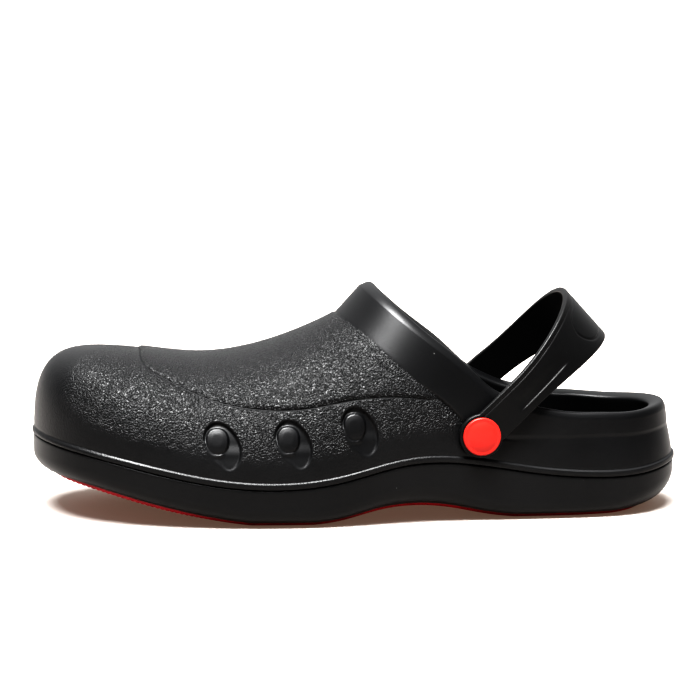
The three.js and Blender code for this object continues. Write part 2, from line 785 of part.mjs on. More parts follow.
// A solid of half sections, each from the middle line out to the edge and back
function halfSectionGeometry(sectionAt) {
  const columns = [...Array(lastColumn + 1).keys()];
  const corners = [];
  for (const side of [lateral, medial]) {
    const rows = columns.map((i) => sectionAt(sharedSide(side, i), columnAngle(i)));
    addSheet(corners, rows, side === lateral);
  }
  return closedGeometry(corners);
}

const raised = (point, height) => new THREE.Vector3(point.x, point.y, height(point.x));
const treadPocketZ = (x) => treadZ(x) + outsoleThickness + fitGap + pocketClear;
const soleBottomZ = (x) => treadZ(x) + outsoleDrop;
const soleTopZ = (x) => seamZ(x) - fitGap;

function pocketInset(angle) {
  return soleInset + cornerAt(length / 2 * Math.cos(angle)) + outsoleLip;
}

// The sole's half section: pocket for the outsole, lip, rounded lower corner, side and top
function midsoleSection(side, angle) {
  const middle = middlePoint(angle);
  const x = length / 2 * Math.cos(angle);
  const corner = cornerAt(x);
  const sideHeight = soleTopZ(x) - soleBottomZ(x);
  const cornerHeight = Math.min(corner, 0.8 * sideHeight);
  const pocket = edgePoint(side, angle, pocketInset(angle));
  const section = [raised(middle, treadPocketZ), raised(pocket, treadPocketZ), raised(pocket, soleBottomZ)];
  const arcSteps = 3;
  for (let i = arcSteps; i >= 0; i -= 1) {
    const turn = Math.PI / 2 * i / arcSteps;
    const point = edgePoint(side, angle, soleInset + corner * (1 - Math.cos(turn)));
    section.push(raised(point, (place) => soleBottomZ(place) + cornerHeight * (1 - Math.sin(turn))));
  }
  const edge = edgePoint(side, angle, soleInset);
  const inside = edgePoint(side, angle, wallAt(side, angle, 0));
  section.push(raised(edge, soleTopZ), raised(inside, soleTopZ), raised(middle, soleTopZ));
  return section;
}

// The insole fills the bottom of the shell and turns up a little at its edge
function insoleSection(side, angle) {
  const middle = middlePoint(angle);
  const low = shellPoint(side, angle, 0, wallAt(side, angle, 0) + fitGap);
  const turn = insoleTurn(angle);
  const high = shellPoint(side, angle, turn, wallAt(side, angle, turn) + fitGap);
  const flat = new THREE.Vector2(low.x, low.y).lerp(middle, 0.35);
  const insoleTopZ = (place) => seamZ(place) + insoleThickness;
  const underside = [raised(middle, seamZ), raised(low, seamZ)];
  return [...underside, high, raised(flat, insoleTopZ), raised(middle, insoleTopZ)];
}

// The tread's side view, drawn out across the shoe
function treadBar() {
  const steps = 34;
  const stations = [...Array(steps + 1).keys()].map((i) => length * (i / steps - 0.5));
  const under = stations.map((x) => new THREE.Vector2(x, treadZ(x)));
  const above = stations.map((x) => new THREE.Vector2(x, treadZ(x) + outsoleThickness));
  const profile = new THREE.Shape([...under, ...above.reverse()]);
  const bar = new THREE.ExtrudeGeometry(profile, { depth: 2 * ballWidth, bevelEnabled: false });
  bar.rotateX(Math.PI / 2);
  bar.translate(0, ballWidth, 0);
  return toSolid(bar);
}

// Everything within the sole's pocket, moved in by an inset
function pocketPlate(inset) {
  const outline = new THREE.Shape();
  const angles = [...Array(lastColumn + 1).keys()].map(columnAngle);
  const edges = angles.map((angle) => edgePoint(lateral, angle, pocketInset(angle) + inset));
  const others = angles.slice(1, -1).map((angle) => edgePoint(medial, angle, pocketInset(angle) + inset));
  outline.setFromPoints([...edges, ...others.reverse()]);
  const plate = new THREE.ExtrudeGeometry(outline, { depth: 2 * toeHeight, bevelEnabled: false });
  plate.translate(0, 0, -toeHeight);
  return toSolid(plate);
}

// Tread plate with a groove across it at each pitch, closed by a rim all round
function outsoleGeometry() {
  const inner = pocketPlate(fitGap + lugRim);
  let solid = treadBar().intersect(pocketPlate(fitGap));
  const reach = Math.floor(length / lugPitch / 2) - 1;
  for (let i = -reach; i <= reach; i += 1) {
    const x = (i - 0.5) * lugPitch;
    const groove = new THREE.BoxGeometry(lugGroove, 2 * ballWidth, 2 * lugDepth);
    groove.rotateY(-Math.atan(slopeOf(treadZ, x)));
    groove.translate(x, 0, treadZ(x));
    solid = solid.subtract(toSolid(groove).intersect(inner));
  }
  return toGeometry(solid);
}

const finish = (color, roughness) => new THREE.MeshStandardMaterial({ color, roughness, metalness: 0 });
const materials = {
  foam: finish(0x17181b, 0.6),
  tread: finish(0x8c1620, 0.7),
  lining: finish(0x1d1e21, 0.85),
  strap: finish(0x121316, 0.45),
  cap: finish(0xea3527, 0.35),
  back: finish(0x191a1d, 0.5),
};

const group = new THREE.Group();

function addPiece(name, geometry, material) {
  geometry.computeVertexNormals();
  const piece = new THREE.Mesh(geometry, material);
  piece.name = name;
  group.add(piece);
}

addPiece("upper", upperGeometry(), materials.foam);
addPiece("midsole", halfSectionGeometry(midsoleSection), materials.foam);
addPiece("outsole", outsoleGeometry(), materials.tread);
addPiece("insole", halfSectionGeometry(insoleSection), materials.lining);
addPiece("strap", strapGeometry(), materials.strap);
for (const rivet of strapPlane.rivets) {
  const sideName = rivet.side === lateral ? "lateral" : "medial";
  addPiece(`rivet_cap_${sideName}`, rivetCapGeometry(rivet), materials.cap);
  addPiece(`rivet_back_${sideName}`, rivetBackGeometry(rivet), materials.back);
}

export default group;
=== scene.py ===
import math

import bpy
import numpy as np
from mathutils import Matrix, Vector


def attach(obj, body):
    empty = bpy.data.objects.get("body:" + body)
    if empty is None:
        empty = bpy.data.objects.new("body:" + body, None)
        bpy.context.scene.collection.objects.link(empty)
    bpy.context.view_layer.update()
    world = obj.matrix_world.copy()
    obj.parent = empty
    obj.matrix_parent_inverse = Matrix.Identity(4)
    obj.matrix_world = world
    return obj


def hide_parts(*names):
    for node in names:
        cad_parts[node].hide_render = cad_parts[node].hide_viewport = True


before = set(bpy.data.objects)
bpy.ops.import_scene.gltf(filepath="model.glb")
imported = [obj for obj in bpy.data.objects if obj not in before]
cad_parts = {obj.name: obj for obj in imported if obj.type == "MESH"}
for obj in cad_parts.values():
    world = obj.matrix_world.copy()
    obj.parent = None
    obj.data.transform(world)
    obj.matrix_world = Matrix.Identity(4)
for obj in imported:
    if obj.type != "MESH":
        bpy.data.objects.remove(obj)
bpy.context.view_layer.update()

print("frame loaded")

# Sizes are in millimetres until a mesh is made; the toe points to -X and the lateral side to -Y
lateral, medial = -1.0, 1.0
halfTurn = math.pi / 2

last = {
    "length": 289.0, "ballWidth": 112.0, "toeHeight": 73.0, "instepHeight": 101.0,
    "heelCollarHeight": 46.2, "toeSeamHeight": 34.2, "heelSeamHeight": 22.0,
    "toeSpring": 17.8, "archRise": 6.5, "heelRise": 4.8, "treadSink": 0.3,
    "toeRound": 28.0, "toeRoundBlend": 16.0, "heelRound": 37.0, "heelRoundBlend": 14.0,
    "crestLean": 3.0, "crestLeanReach": 58.0, "instepBack": 0.14,
}
# along, then the lateral and medial half widths as shares of half the ball width
outlineRows = [
    (0.0, -0.12, 0.12), (0.03, 0.42, 0.58), (0.08, 0.69, 0.79), (0.16, 0.875, 0.93), (0.26, 0.97, 1.0),
    (0.36, 1.0, 0.99), (0.46, 0.965, 0.91), (0.56, 0.88, 0.81), (0.66, 0.795, 0.735), (0.76, 0.745, 0.71),
    (0.86, 0.7, 0.69), (0.93, 0.595, 0.59), (0.975, 0.395, 0.395), (1.0, 0.0, 0.0)]
# along, seam, crest, fullness of the section, bead, lower corner of the sole
sectionRows = [
    (0.0, 1.0, 0.0, 3.0, 0.8, 1.4), (0.08, 0.69, 0.0, 2.9, 0.8, 1.35),
    (0.16, 0.28, -0.045, 2.6, 0.75, 1.3), (0.26, -0.2, -0.145, 2.4, 0.65, 1.3),
    (0.36, -0.39, 0.025, 2.3, 0.6, 1.2), (0.46, -0.16, 0.46, 2.2, 0.6, 1.1),
    (0.56, 0.36, 1.01, 2.1, 0.6, 1.7), (0.66, 0.3, 1.33, 1.9, 0.7, 1.4),
    (0.76, -0.09, 1.44, 1.7, 0.8, 1.0), (0.86, -0.3, 1.33, 1.5, 0.9, 1.0),
    (0.93, -0.26, 1.11, 1.42, 1.0, 1.5), (1.0, 0.0, 0.89, 1.44, 1.0, 2.2)]
# along, then shares of the toe spring, the arch's rise and the heel's rise
treadRows = [
    (0.0, 1.0, 0.0, 0.0), (0.08, 0.84, 0.0, 0.0), (0.16, 0.53, 0.0, 0.0), (0.22, 0.3, 0.0, 0.0),
    (0.28, 0.11, 0.0, 0.0), (0.34, 0.0, 0.0, 0.0), (0.4, 0.0, 0.0, 0.0), (0.46, 0.0, 0.26, 0.0),
    (0.52, 0.0, 0.82, 0.0), (0.57, 0.0, 1.0, 0.0), (0.63, 0.0, 0.78, 0.0), (0.69, 0.0, 0.26, 0.0),
    (0.75, 0.0, 0.0, 0.0), (0.86, 0.0, 0.0, 0.0), (0.92, 0.0, 0.0, 0.22), (0.96, 0.0, 0.0, 0.55),
    (1.0, 0.0, 0.0, 1.0)]
# along, then the collar's rise and the share of the band's width
collarRows = [
    (0.479, 1.134, 1.0), (0.514, 0.998, 1.0), (0.586, 0.69, 1.0), (0.652, 0.41, 1.0), (0.686, 0.246, 0.95),
    (0.714, 0.161, 0.84), (0.741, 0.1, 0.74), (0.772, 0.057, 0.65), (0.81, 0.023, 0.58), (0.862, 0.009, 0.54),
    (0.907, 0.0, 0.53), (0.948, 0.011, 0.53), (1.0, 0.045, 0.53)]


# Natural cubic spline through (xs, ys), for whole arrays of x
def curveThrough(xs, ys):
    xs, ys = np.asarray(xs, float), np.asarray(ys, float)
    step = np.diff(xs)
    system, turnAt = np.eye(len(xs)), np.zeros(len(xs))
    for i in range(1, len(xs) - 1):
        system[i, i - 1:i + 2] = step[i - 1], 2 * (step[i - 1] + step[i]), step[i]
        turnAt[i] = 6 * ((ys[i + 1] - ys[i]) / step[i] - (ys[i] - ys[i - 1]) / step[i - 1])
    bend = np.linalg.solve(system, turnAt)

    def curve(x):
        x = np.asarray(x, float)
        i = np.clip(np.searchsorted(xs, x) - 1, 0, len(xs) - 2)
        low, high = (xs[i + 1] - x) / step[i], (x - xs[i]) / step[i]
        sag = ((low ** 3 - low) * bend[i] + (high ** 3 - high) * bend[i + 1]) * step[i] ** 2 / 6
        return low * ys[i] + high * ys[i + 1] + sag

    return curve


def columnCurves(rows):
    table = np.array(rows, float)
    return [curveThrough(table[:, 0], table[:, k]) for k in range(1, table.shape[1])]


def smoothstep(x, low, high):
    t = np.clip((x - low) / (high - low), 0, 1)
    return t * t * (3 - 2 * t)


def softMax(a, b, soft):
    return (a + b + np.hypot(a - b, soft)) / 2


def softMin(a, b, soft):
    return (a + b - np.hypot(a - b, soft)) / 2


def unit(v):
    return v / np.maximum(np.linalg.norm(v, axis=-1, keepdims=True), 1e-12)


def xAt(angle):
    return last["length"] / 2 * np.cos(angle)


def alongOf(x):
    return np.clip(x / last["length"] + 0.5, 0, 1)


# The outline goes round once: angle 0 is the heel, pi the toe tip, and the medial side comes back
def roundOutline():
    table = np.array(outlineRows)
    angles = np.arccos(2 * table[:, 0] - 1)
    out = table[:, 1:] * last["ballWidth"] / 2
    ring = np.concatenate([angles[::-1], 2 * np.pi - angles[1:-1]])
    side = np.concatenate([-out[::-1, 0], out[1:-1, 1]])
    turns = np.concatenate([ring - 2 * np.pi, ring, ring + 2 * np.pi])
    return curveThrough(turns, np.tile(side, 3))


outlineY = roundOutline()
seamShare, crestShare, fullAt, proudShare, cornerShare = columnCurves(sectionRows)
treadToe, treadArch, treadHeel = columnCurves(treadRows)
collarShare, bandShare = columnCurves(collarRows)


def seamZ(x):
    return last["heelSeamHeight"] + (last["toeSeamHeight"] - last["heelSeamHeight"]) * seamShare(alongOf(x))


def crestZ(x):
    return last["toeHeight"] + (last["instepHeight"] - last["toeHeight"]) * crestShare(alongOf(x))


def collarZ(x):
    rise = last["instepHeight"] - last["heelCollarHeight"]
    return last["heelCollarHeight"] + rise * collarShare(alongOf(x))


def slopeOf(curve, x):
    return curve(x + 0.5) - curve(x - 0.5)


# Points of a flat line, moved to a height
def raised(flat, z):
    return np.concatenate([flat, z[..., None]], -1)


def tipsAt(angle):
    return (angle < 1e-9) | (angle > np.pi - 1e-9)


# Height of the tread above the floor, flat at the ball and at the heel
def treadZ(x):
    along = alongOf(x)
    lift = (last["toeSpring"] * treadToe(along) + last["archRise"] * treadArch(along)
            + last["heelRise"] * treadHeel(along))
    return np.maximum(0, lift - last["treadSink"])


# Point of the outline at an angle, moved in by an inset at right angles to the edge
def edgePoint(side, angle, inset):
    side, angle, inset = np.broadcast_arrays(side, angle, inset)

    def at(turn):
        ringTurn = np.where(side < 0, turn, 2 * np.pi - turn)
        return np.stack([xAt(turn), outlineY(ringTurn)], -1)

    run = unit(at(angle + 0.002) - at(angle - 0.002))
    inward = np.stack([-run[..., 1] * side, run[..., 0] * side], -1)
    tips = tipsAt(angle)
    inward[tips] = np.stack([np.where(angle[tips] < 1, -1.0, 1.0), np.zeros(tips.sum())], -1)
    return at(angle) + inward * inset[..., None]


# The middle line under the crest, kept clear of the round toe and heel
def middlePoint(angle):
    half = last["length"] / 2
    soft = softMin(half * np.cos(angle), half - last["heelRound"], last["heelRoundBlend"])
    x = softMax(soft, last["toeRound"] - half, last["toeRoundBlend"])
    turn = np.arccos(np.clip(x / half, -1, 1))
    return np.stack([x, (outlineY(turn) + outlineY(2 * np.pi - turn)) / 2], -1)


# The crest runs a little to the medial side of the middle over the instep
def crestPoint(angle):
    point = middlePoint(angle)
    instep = (point[..., 0] + last["length"] * last["instepBack"]) / last["crestLeanReach"]
    point[..., 1] += last["crestLean"] * np.exp(-instep ** 2)
    return point


# Shares of the way out and up on the section's superellipse
def sectionShares(full, turn):
    across, upward = np.abs(np.cos(turn)), np.sin(turn)
    size = (across ** full + upward ** full) ** (1 / full)
    return np.where(turn > halfTurn - 1e-9, 0, across / size), upward / size


def riseAt(angle, turn):
    return sectionShares(fullAt(alongOf(xAt(angle))), turn)[1]


def turnAtRise(full, rise):
    held = np.clip(rise, 0, 0.9999)
    return np.arctan(held / (1 - held ** full) ** (1 / full))


# The smooth outside of the upper, or its inside when inset is the wall: from the seam's edge
# out share of the way to the crest, and up share of the height between seam and crest
def shellPoint(side, angle, turn, inset):
    side, angle, turn, inset = np.broadcast_arrays(side, angle, turn, inset)
    edge, top = edgePoint(side, angle, inset), crestPoint(angle)
    tilt = np.arctan(slopeOf(crestZ, top[..., 0]))
    push, drop = inset * np.sin(tilt), inset * np.cos(tilt)
    top[..., 0] += push
    out, up = sectionShares(fullAt(alongOf(xAt(angle))), turn)
    flat = top + (edge - top) * out[..., None]
    low = seamZ(edge[..., 0])
    z = low + (crestZ(flat[..., 0] - push) - drop - low) * up
    return raised(flat, z)


# Outward direction of the smooth shell
def shellNormal(side, angle, turn):
    side, angle, turn = np.broadcast_arrays(side, angle, turn)
    step = 0.01
    a, t = np.clip(angle, step, np.pi - step), np.clip(turn, step, halfTurn - step)
    run = shellPoint(side, a + step, t, 0.0) - shellPoint(side, a - step, t, 0.0)
    rise = shellPoint(side, a, t + step, 0.0) - shellPoint(side, a, t - step, 0.0)
    normal = unit(np.cross(run, rise) * side[..., None])
    slope = slopeOf(crestZ, crestPoint(angle)[..., 0])
    crest = unit(np.stack([-slope, np.zeros_like(slope), np.ones_like(slope)], -1))
    normal = np.where((turn > halfTurn - 0.001)[..., None], crest, normal)
    normal[tipsAt(angle), 1] = 0
    return normal


# Distance of a point below the collar's edge, square to that edge in side view
def belowCollar(point):
    x = point[..., 0]
    return (collarZ(x) - point[..., 2]) * np.cos(np.arctan(slopeOf(collarZ, x)))


weld = 0.002


# Mesh code: sheets of points become one mesh with shared corners
def sheetFaces(rows, columns, start, flip):
    i, j = np.meshgrid(np.arange(rows - 1), np.arange(columns - 1), indexing="ij")
    a = start + i * columns + j
    quads = np.stack([a, a + columns, a + columns + 1, a + 1], -1).reshape(-1, 4)
    return quads[:, ::-1] if flip else quads


# sheets holds (points[rows, columns, 3], flip, {attribute: values[rows, columns]})
def makePiece(name, sheets):
    points, faces, marks = [], [], {}
    keys = sorted({key for sheet in sheets for key in sheet[2]})
    start = 0
    for grid, flip, values in sheets:
        rows, columns = grid.shape[:2]
        points.append(grid.reshape(-1, 3))
        faces.append(sheetFaces(rows, columns, start, flip))
        for key in keys:
            field = np.broadcast_to(values.get(key, 0.0), (rows, columns)).reshape(-1)
            marks.setdefault(key, []).append(field)
        start += rows * columns
    points, faces = np.concatenate(points), np.concatenate(faces)
    # corners that lie together are shared, and faces that shrink to a line are left out
    steps = np.round(points / weld).astype(np.int64)
    _, keep, where = np.unique(steps, axis=0, return_index=True, return_inverse=True)
    faces = where.reshape(-1)[faces]
    same = faces == np.roll(faces, -1, axis=1)
    whole = faces[same.sum(1) == 0]
    three = faces[same.sum(1) == 1]
    three = np.stack([row[~cut] for row, cut in zip(three, same[same.sum(1) == 1])]) if len(three) else []
    mesh = bpy.data.meshes.new(name)
    loops = np.concatenate([whole.reshape(-1), np.asarray(three, int).reshape(-1)])
    sizes = np.concatenate([np.full(len(whole), 4), np.full(len(three), 3)])
    mesh.vertices.add(len(keep))
    mesh.vertices.foreach_set("co", (points[keep] * 0.001).astype(np.float32).reshape(-1))
    mesh.loops.add(len(loops))
    mesh.loops.foreach_set("vertex_index", loops.astype(np.int32))
    mesh.polygons.add(len(sizes))
    mesh.polygons.foreach_set("loop_start", (np.cumsum(sizes) - sizes).astype(np.int32))
    mesh.update(calc_edges=True)
    mesh.polygons.foreach_set("use_smooth", np.ones(len(sizes), bool))
    for key in keys:
        attribute = mesh.attributes.new(key, "FLOAT", "POINT")
        attribute.data.foreach_set("value", np.concatenate(marks[key])[keep].astype(np.float32))
    mesh.validate()
    piece = bpy.data.objects.new(name, mesh)
    bpy.context.scene.collection.objects.link(piece)
    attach(piece, "root")
    return piece


# Upper: a hollow foam moulding
upper = {
    "wall": 4.5, "collarWall": 6.4, "collarFlare": 7.4, "flareAtSide": 0.16, "bandWidth": 19.0,
    "bandStep": 0.7, "bandGroove": 0.45, "grooveWide": 0.45, "panelStep": 0.9, "panelGroove": 0.2,
    "beadHeight": 2.4, "beadProud": 1.0, "beadGroove": 0.12, "seamTuck": 0.35,
    "shelf": 0.15, "toeShelf": 1.05, "shelfEnd": (0.06, 0.2),
    "panelMark": 12.0, "panelEnd": (0.575, 0.615), "grainRise": (9.0, 23.0),
    "grainToe": (0.02, 0.1), "grainEnd": (0.6, 0.67),
    "plugWide": 9.2, "plugTall": 11.0, "plugRound": 2.3, "plugDish": 0.3,
    "ventDepth": 1.8, "ventLip": 0.6, "ventTail": 13.6, "ventSpan": 24.0,
    "columnsFront": 268, "columnsRear": 142, "closing": 0.12, "rows": 116, "lipRows": 10, "insideRows": 34,
}
# along, then the share of the way up from the seam to the crest, from the nose on the crest back
panelRows = [
    (0.1565, 1.0), (0.1585, 0.975), (0.168, 0.918), (0.204, 0.835), (0.237, 0.771), (0.269, 0.715),
    (0.333, 0.63), (0.398, 0.565), (0.461, 0.521), (0.522, 0.446), (0.589, 0.356), (0.62, 0.325)]
ventRows = [(0.271, 0.395), (0.377, 0.379), (0.478, 0.339)]
# the vent's teardrop round its middle: degrees from straight back, turning up, and millimetres out
ventRound = [
    (-154, 6.8), (-132, 7.6), (-112, 8.8), (-90, 10.5), (-75, 12.9), (-64, 13.2), (-53, 12.4),
    (-24, 9.8), (0, 8.2), (31, 7.4), (67, 8.2), (102, 9.8), (122, 9.6), (139, 9.0), (158, 8.1), (180, 7.0)]
ventMiddle = (1.6, -1.0)


def proudAt(x):
    return upper["beadProud"] * proudShare(alongOf(x))


# Wall from the smooth outside to the inside, a little thicker towards the collar
def wallAt(side, angle, turn):
    outer = shellPoint(side, angle, turn, 0.0)
    thick = upper["collarWall"]
    near = 1 - smoothstep(belowCollar(outer), thick, 3 * thick)
    return upper["wall"] + proudAt(outer[..., 0]) + (thick - upper["wall"]) * near


def innerPoint(side, angle, turn):
    return shellPoint(side, angle, turn, wallAt(side, angle, turn))


# The panel's edge: along and turn of close points from its nose on the crest back to the band.
# The rows are mirrored over the crest, so that the nose is round.
def panelEdge():
    table = np.array(panelRows)
    turn = turnAtRise(fullAt(table[:, 0]), table[:, 1])
    turn[0] = halfTurn
    along = np.concatenate([table[2:0:-1, 0], table[:, 0]])
    turn = np.concatenate([2 * halfTurn - turn[2:0:-1], turn])
    step = np.hypot(np.diff(along) * last["length"], np.diff(turn) * last["ballWidth"] / 2)
    run = np.concatenate([[0], np.cumsum(step)])
    places = np.linspace(run[2], run[-1], 420)
    return curveThrough(run, along)(places), np.minimum(curveThrough(run, turn)(places), halfTurn)


edgeAlong, edgeTurn = panelEdge()


def panelLine(side):
    return shellPoint(side, np.arccos(2 * edgeAlong - 1), edgeTurn, 0.0)


batch = 4096


# Distance from each point to a line through many close points, worked out in batches
def distanceTo(points, line):
    flat = points.reshape(-1, 3)
    a, b = line[:-1], line[1:]
    run = b - a
    size = (run ** 2).sum(1)
    best = np.full(len(flat), 1e9)
    for start in range(0, len(flat), batch):
        part = flat[start:start + batch, None] - a[None]
        t = np.clip((part * run[None]).sum(-1) / size, 0, 1)
        gap = part - t[..., None] * run[None]
        best[start:start + batch] = np.sqrt((gap ** 2).sum(-1).min(1))
    return best.reshape(points.shape[:-1])


# A place on the outside and the directions there, up the wall and back along it
def wallFrame(side, along, rise):
    angle, turn = np.arccos(2 * along - 1), turnAtRise(fullAt(along), rise)
    point = shellPoint(side, angle, turn, 0.0)
    out = shellNormal(side, angle, turn)
    up = unit(np.array([0, 0, 1.0]) - out * out[2])
    back = np.cross(up, out) * -side
    return point, up, back


# Blind vents: how deep each point lies, 0 on the skin. A plug stands in a teardrop hollow whose
# floor ramps up to the skin at the tail, deeper along its rear edge, with a lip under the plug.
# u and v are millimetres back and up from the plug's middle; share is 1 on the teardrop's edge and
# plug is 1 on the plug's. The second field is 1 inside, where the grain stops.
def ventFields(points, side):
    depth, inside = np.zeros(points.shape[:-1]), np.zeros(points.shape[:-1])
    table = np.array(ventRound, float)
    around = np.concatenate([table[:, 0] - 360, table[:, 0], table[:, 0] + 360])
    reach = curveThrough(around, np.tile(table[:, 1], 3))
    for along, rise in ventRows:
        centre, up, back = wallFrame(side, along, rise)
        away = points - centre
        u, v = away @ back, away @ up
        near = np.linalg.norm(away, axis=-1) < upper["ventSpan"]
        across, above = u - ventMiddle[0], v - ventMiddle[1]
        share = np.hypot(across, above) / reach(np.degrees(np.arctan2(above, across)))
        low = smoothstep(-v, 2.0, 6.5)
        front = smoothstep(-u, -4.0, 2.0)
        brim = 0.09 + 0.3 * low * front
        ramp = 1 - 0.4 * smoothstep(-v, 1.0, 7.0) - 0.5 * smoothstep(-v, 7.0, upper["ventTail"] + 1.5)
        slant = 1 - 0.45 * low * (1 - smoothstep(u, -4.5, 6.5))
        floor = upper["ventDepth"] * ramp * slant * smoothstep(1 - share, -0.01, brim)
        full = upper["plugRound"]
        plug = np.abs(2 * u / upper["plugWide"]) ** full + np.abs(2 * v / upper["plugTall"]) ** full
        plug = plug ** (1 / full)
        below = smoothstep(-v, 2.5, 5.0) * smoothstep(-u, -3.6, -1.6)
        lip = upper["ventLip"] * np.exp(-((plug - 1.25) / 0.12) ** 2) * below
        gap = smoothstep(plug, 0.97, 1.1)
        dish = upper["plugDish"] * smoothstep(plug, 0.45, 1.0)
        here = np.maximum(floor - lip, 0) * gap + dish * (1 - gap)
        depth = np.where(near, np.maximum(depth, here), depth)
        mark = 1 - smoothstep(share, 0.98, 1.1)
        mark = np.maximum(mark, 1 - smoothstep(plug, 1.0, 1.1))
        inside = np.where(near, np.maximum(inside, mark), inside)
    return depth, inside


# Share of the band, how far the band moves a point off the smooth shell, and the groove under it
def bandAt(point, rise, soft):
    depth = belowCollar(point)
    band = upper["bandWidth"] * bandShare(np.clip(alongOf(point[..., 0]), collarRows[0][0], 1))
    onBand = 1 - smoothstep(depth, band - soft, band + soft)
    flareShare = upper["flareAtSide"] + (1 - upper["flareAtSide"]) * rise ** 3
    flare = upper["collarFlare"] * flareShare * np.clip(1 - depth / band, 0, 1.1)
    crease = np.exp(-((depth - band - soft * 1.1) / upper["grooveWide"]) ** 2)
    step = upper["bandStep"] * (1 - 0.5 * smoothstep(alongOf(point[..., 0]), 0.64, 0.76))
    return onBand, (step + flare) * onBand, crease


# Relief of the outside, in millimetres along the normal, and the marks that the finish reads: the
# shell is drawn in above the bead, raised inside the panel's edge and on the band, and sunk at vents
def reliefAt(side, angle, turn):
    point = shellPoint(side, angle, turn, 0.0)
    x = point[..., 0]
    along, rise = alongOf(xAt(angle)), riseAt(angle, turn)
    height = point[..., 2] - seamZ(x)
    bead = upper["beadHeight"]
    shelf = upper["shelf"] + upper["toeShelf"] * (1 - smoothstep(along, *upper["shelfEnd"]))
    relief = -proudAt(x) * smoothstep(height, bead - shelf, bead + 0.45)
    relief -= upper["beadGroove"] * np.exp(-((height - bead - 0.55) / 0.35) ** 2)
    relief -= upper["seamTuck"] * (1 - smoothstep(height, 0.0, 0.7)) ** 2
    onBand, raisedBand, crease = bandAt(point, rise, 0.3 + 0.7 * smoothstep(alongOf(x), 0.62, 0.74))
    faded = 1 - smoothstep(along, *upper["panelEnd"])
    edge = distanceTo(point, panelLine(side))
    inPanel = along > np.interp(turn, edgeTurn[::-1], edgeAlong[::-1], left=2.0)
    signed = np.where(inPanel, edge, -edge)
    onPanel = smoothstep(signed, -0.3, 1.8) * (1 - onBand)
    relief += upper["panelStep"] * onPanel * faded
    relief -= upper["panelGroove"] * np.exp(-((signed + 0.3) / 0.36) ** 2) * faded * (1 - onBand)
    relief += raisedBand - upper["bandGroove"] * crease * (1 - smoothstep(alongOf(x), 0.66, 0.74))
    vent, inVent = ventFields(point, side)
    relief -= vent
    low = smoothstep(height, *upper["grainRise"]) * smoothstep(along, *upper["grainToe"])
    grain = (1 - onBand) * (1 - inVent) * (1 - smoothstep(along, *upper["grainEnd"])) * (0.08 + 0.92 * low)
    panel = 0.5 + np.clip(signed / upper["panelMark"], -0.5, 0.5)
    return point, relief, {"grain": grain, "panel": panel, "seen": faded * (1 - onBand)}


# Halving search, for whole arrays, for the place where a rising test turns true
def findPlace(low, high, test):
    for _ in range(26):
        middle = (low + high) / 2
        over = test(middle)
        high, low = np.where(over, middle, high), np.where(over, low, middle)
    return (low + high) / 2


# Off the panel and the vents, a point that only the band and the bead move
def plainOuter(side, angle, turn):
    point = shellPoint(side, angle, turn, 0.0)
    _, raisedBand, _ = bandAt(point, riseAt(angle, turn), 1.2)
    height = point[..., 2] - seamZ(point[..., 0])
    aboveBead = smoothstep(height, upper["beadHeight"], upper["beadHeight"] + 0.6)
    relief = raisedBand - proudAt(point[..., 0]) * aboveBead
    return point + shellNormal(side, angle, turn) * relief[..., None]


def overCollar(side, angle, turn):
    return belowCollar(plainOuter(side, angle, turn)) < upper["collarWall"] / 2


apexAngle = float(findPlace(np.array([np.pi * 0.75]), np.array([np.pi * 0.25]),
                            lambda angle: overCollar(lateral, angle, np.array([halfTurn])))[0])


# Places spread so that their spacing follows 1 over the density
def spread(low, high, count, density):
    fine = np.linspace(low, high, 2000)
    total = np.concatenate([[0], np.cumsum((density(fine[1:]) + density(fine[:-1])) / 2)])
    return np.interp(np.linspace(0, total[-1], count + 1), total, fine)


# Columns stand closest at the vents and behind the apex
def frontDensity(angle):
    run = np.hypot(last["length"] / 2 * np.sin(angle), 28)
    x = xAt(angle)
    vents = smoothstep(x, -80, -72) * (1 - smoothstep(x, 2, 10))
    return run * (1 + 1.1 * vents)


def rearDensity(angle):
    x = xAt(angle)
    return np.hypot(last["length"] / 2 * np.sin(angle), 45) * (1 + 1.2 * (1 - smoothstep(x, 30, 70)))


frontAngles = spread(apexAngle, np.pi, upper["columnsFront"], frontDensity)
# Behind the apex the collar's edge falls away as a square root does, so there the columns close up
rearGap = apexAngle - spread(0, apexAngle, upper["columnsRear"], rearDensity)
rearClosed, wholeClosed = (1 - np.exp(-gap / upper["closing"]) for gap in (rearGap, apexAngle))
rearAngles = apexAngle - rearGap * rearClosed / wholeClosed
frontAngles[-1], rearAngles[0], rearAngles[-1] = np.pi, 0.0, frontAngles[0]


# Turns from the seam to the top, close at the bead, and at the vents in front
def outerTurns(angle, top, rows):
    x = float(xAt(angle))
    full = float(fullAt(alongOf(x)))
    height = float(crestZ(crestPoint(np.array(angle))[0])) - float(seamZ(x))
    beadTurns = turnAtRise(full, np.array([0, 0.35, 0.8, 1.4, 1.9, 2.3, 2.6, 2.95, 3.4, 4.0]) / height)
    vents = float(smoothstep(x, -95, -80) * (1 - smoothstep(x, 8, 22)))

    def density(turn):
        _, rise = sectionShares(full, turn)
        return 1 + 1.6 * vents * smoothstep(rise, 0.02, 0.1) * (1 - smoothstep(rise, 0.6, 0.68))

    return np.concatenate([beadTurns[:-1], spread(beadTurns[-1], top, rows - len(beadTurns) + 1, density)])


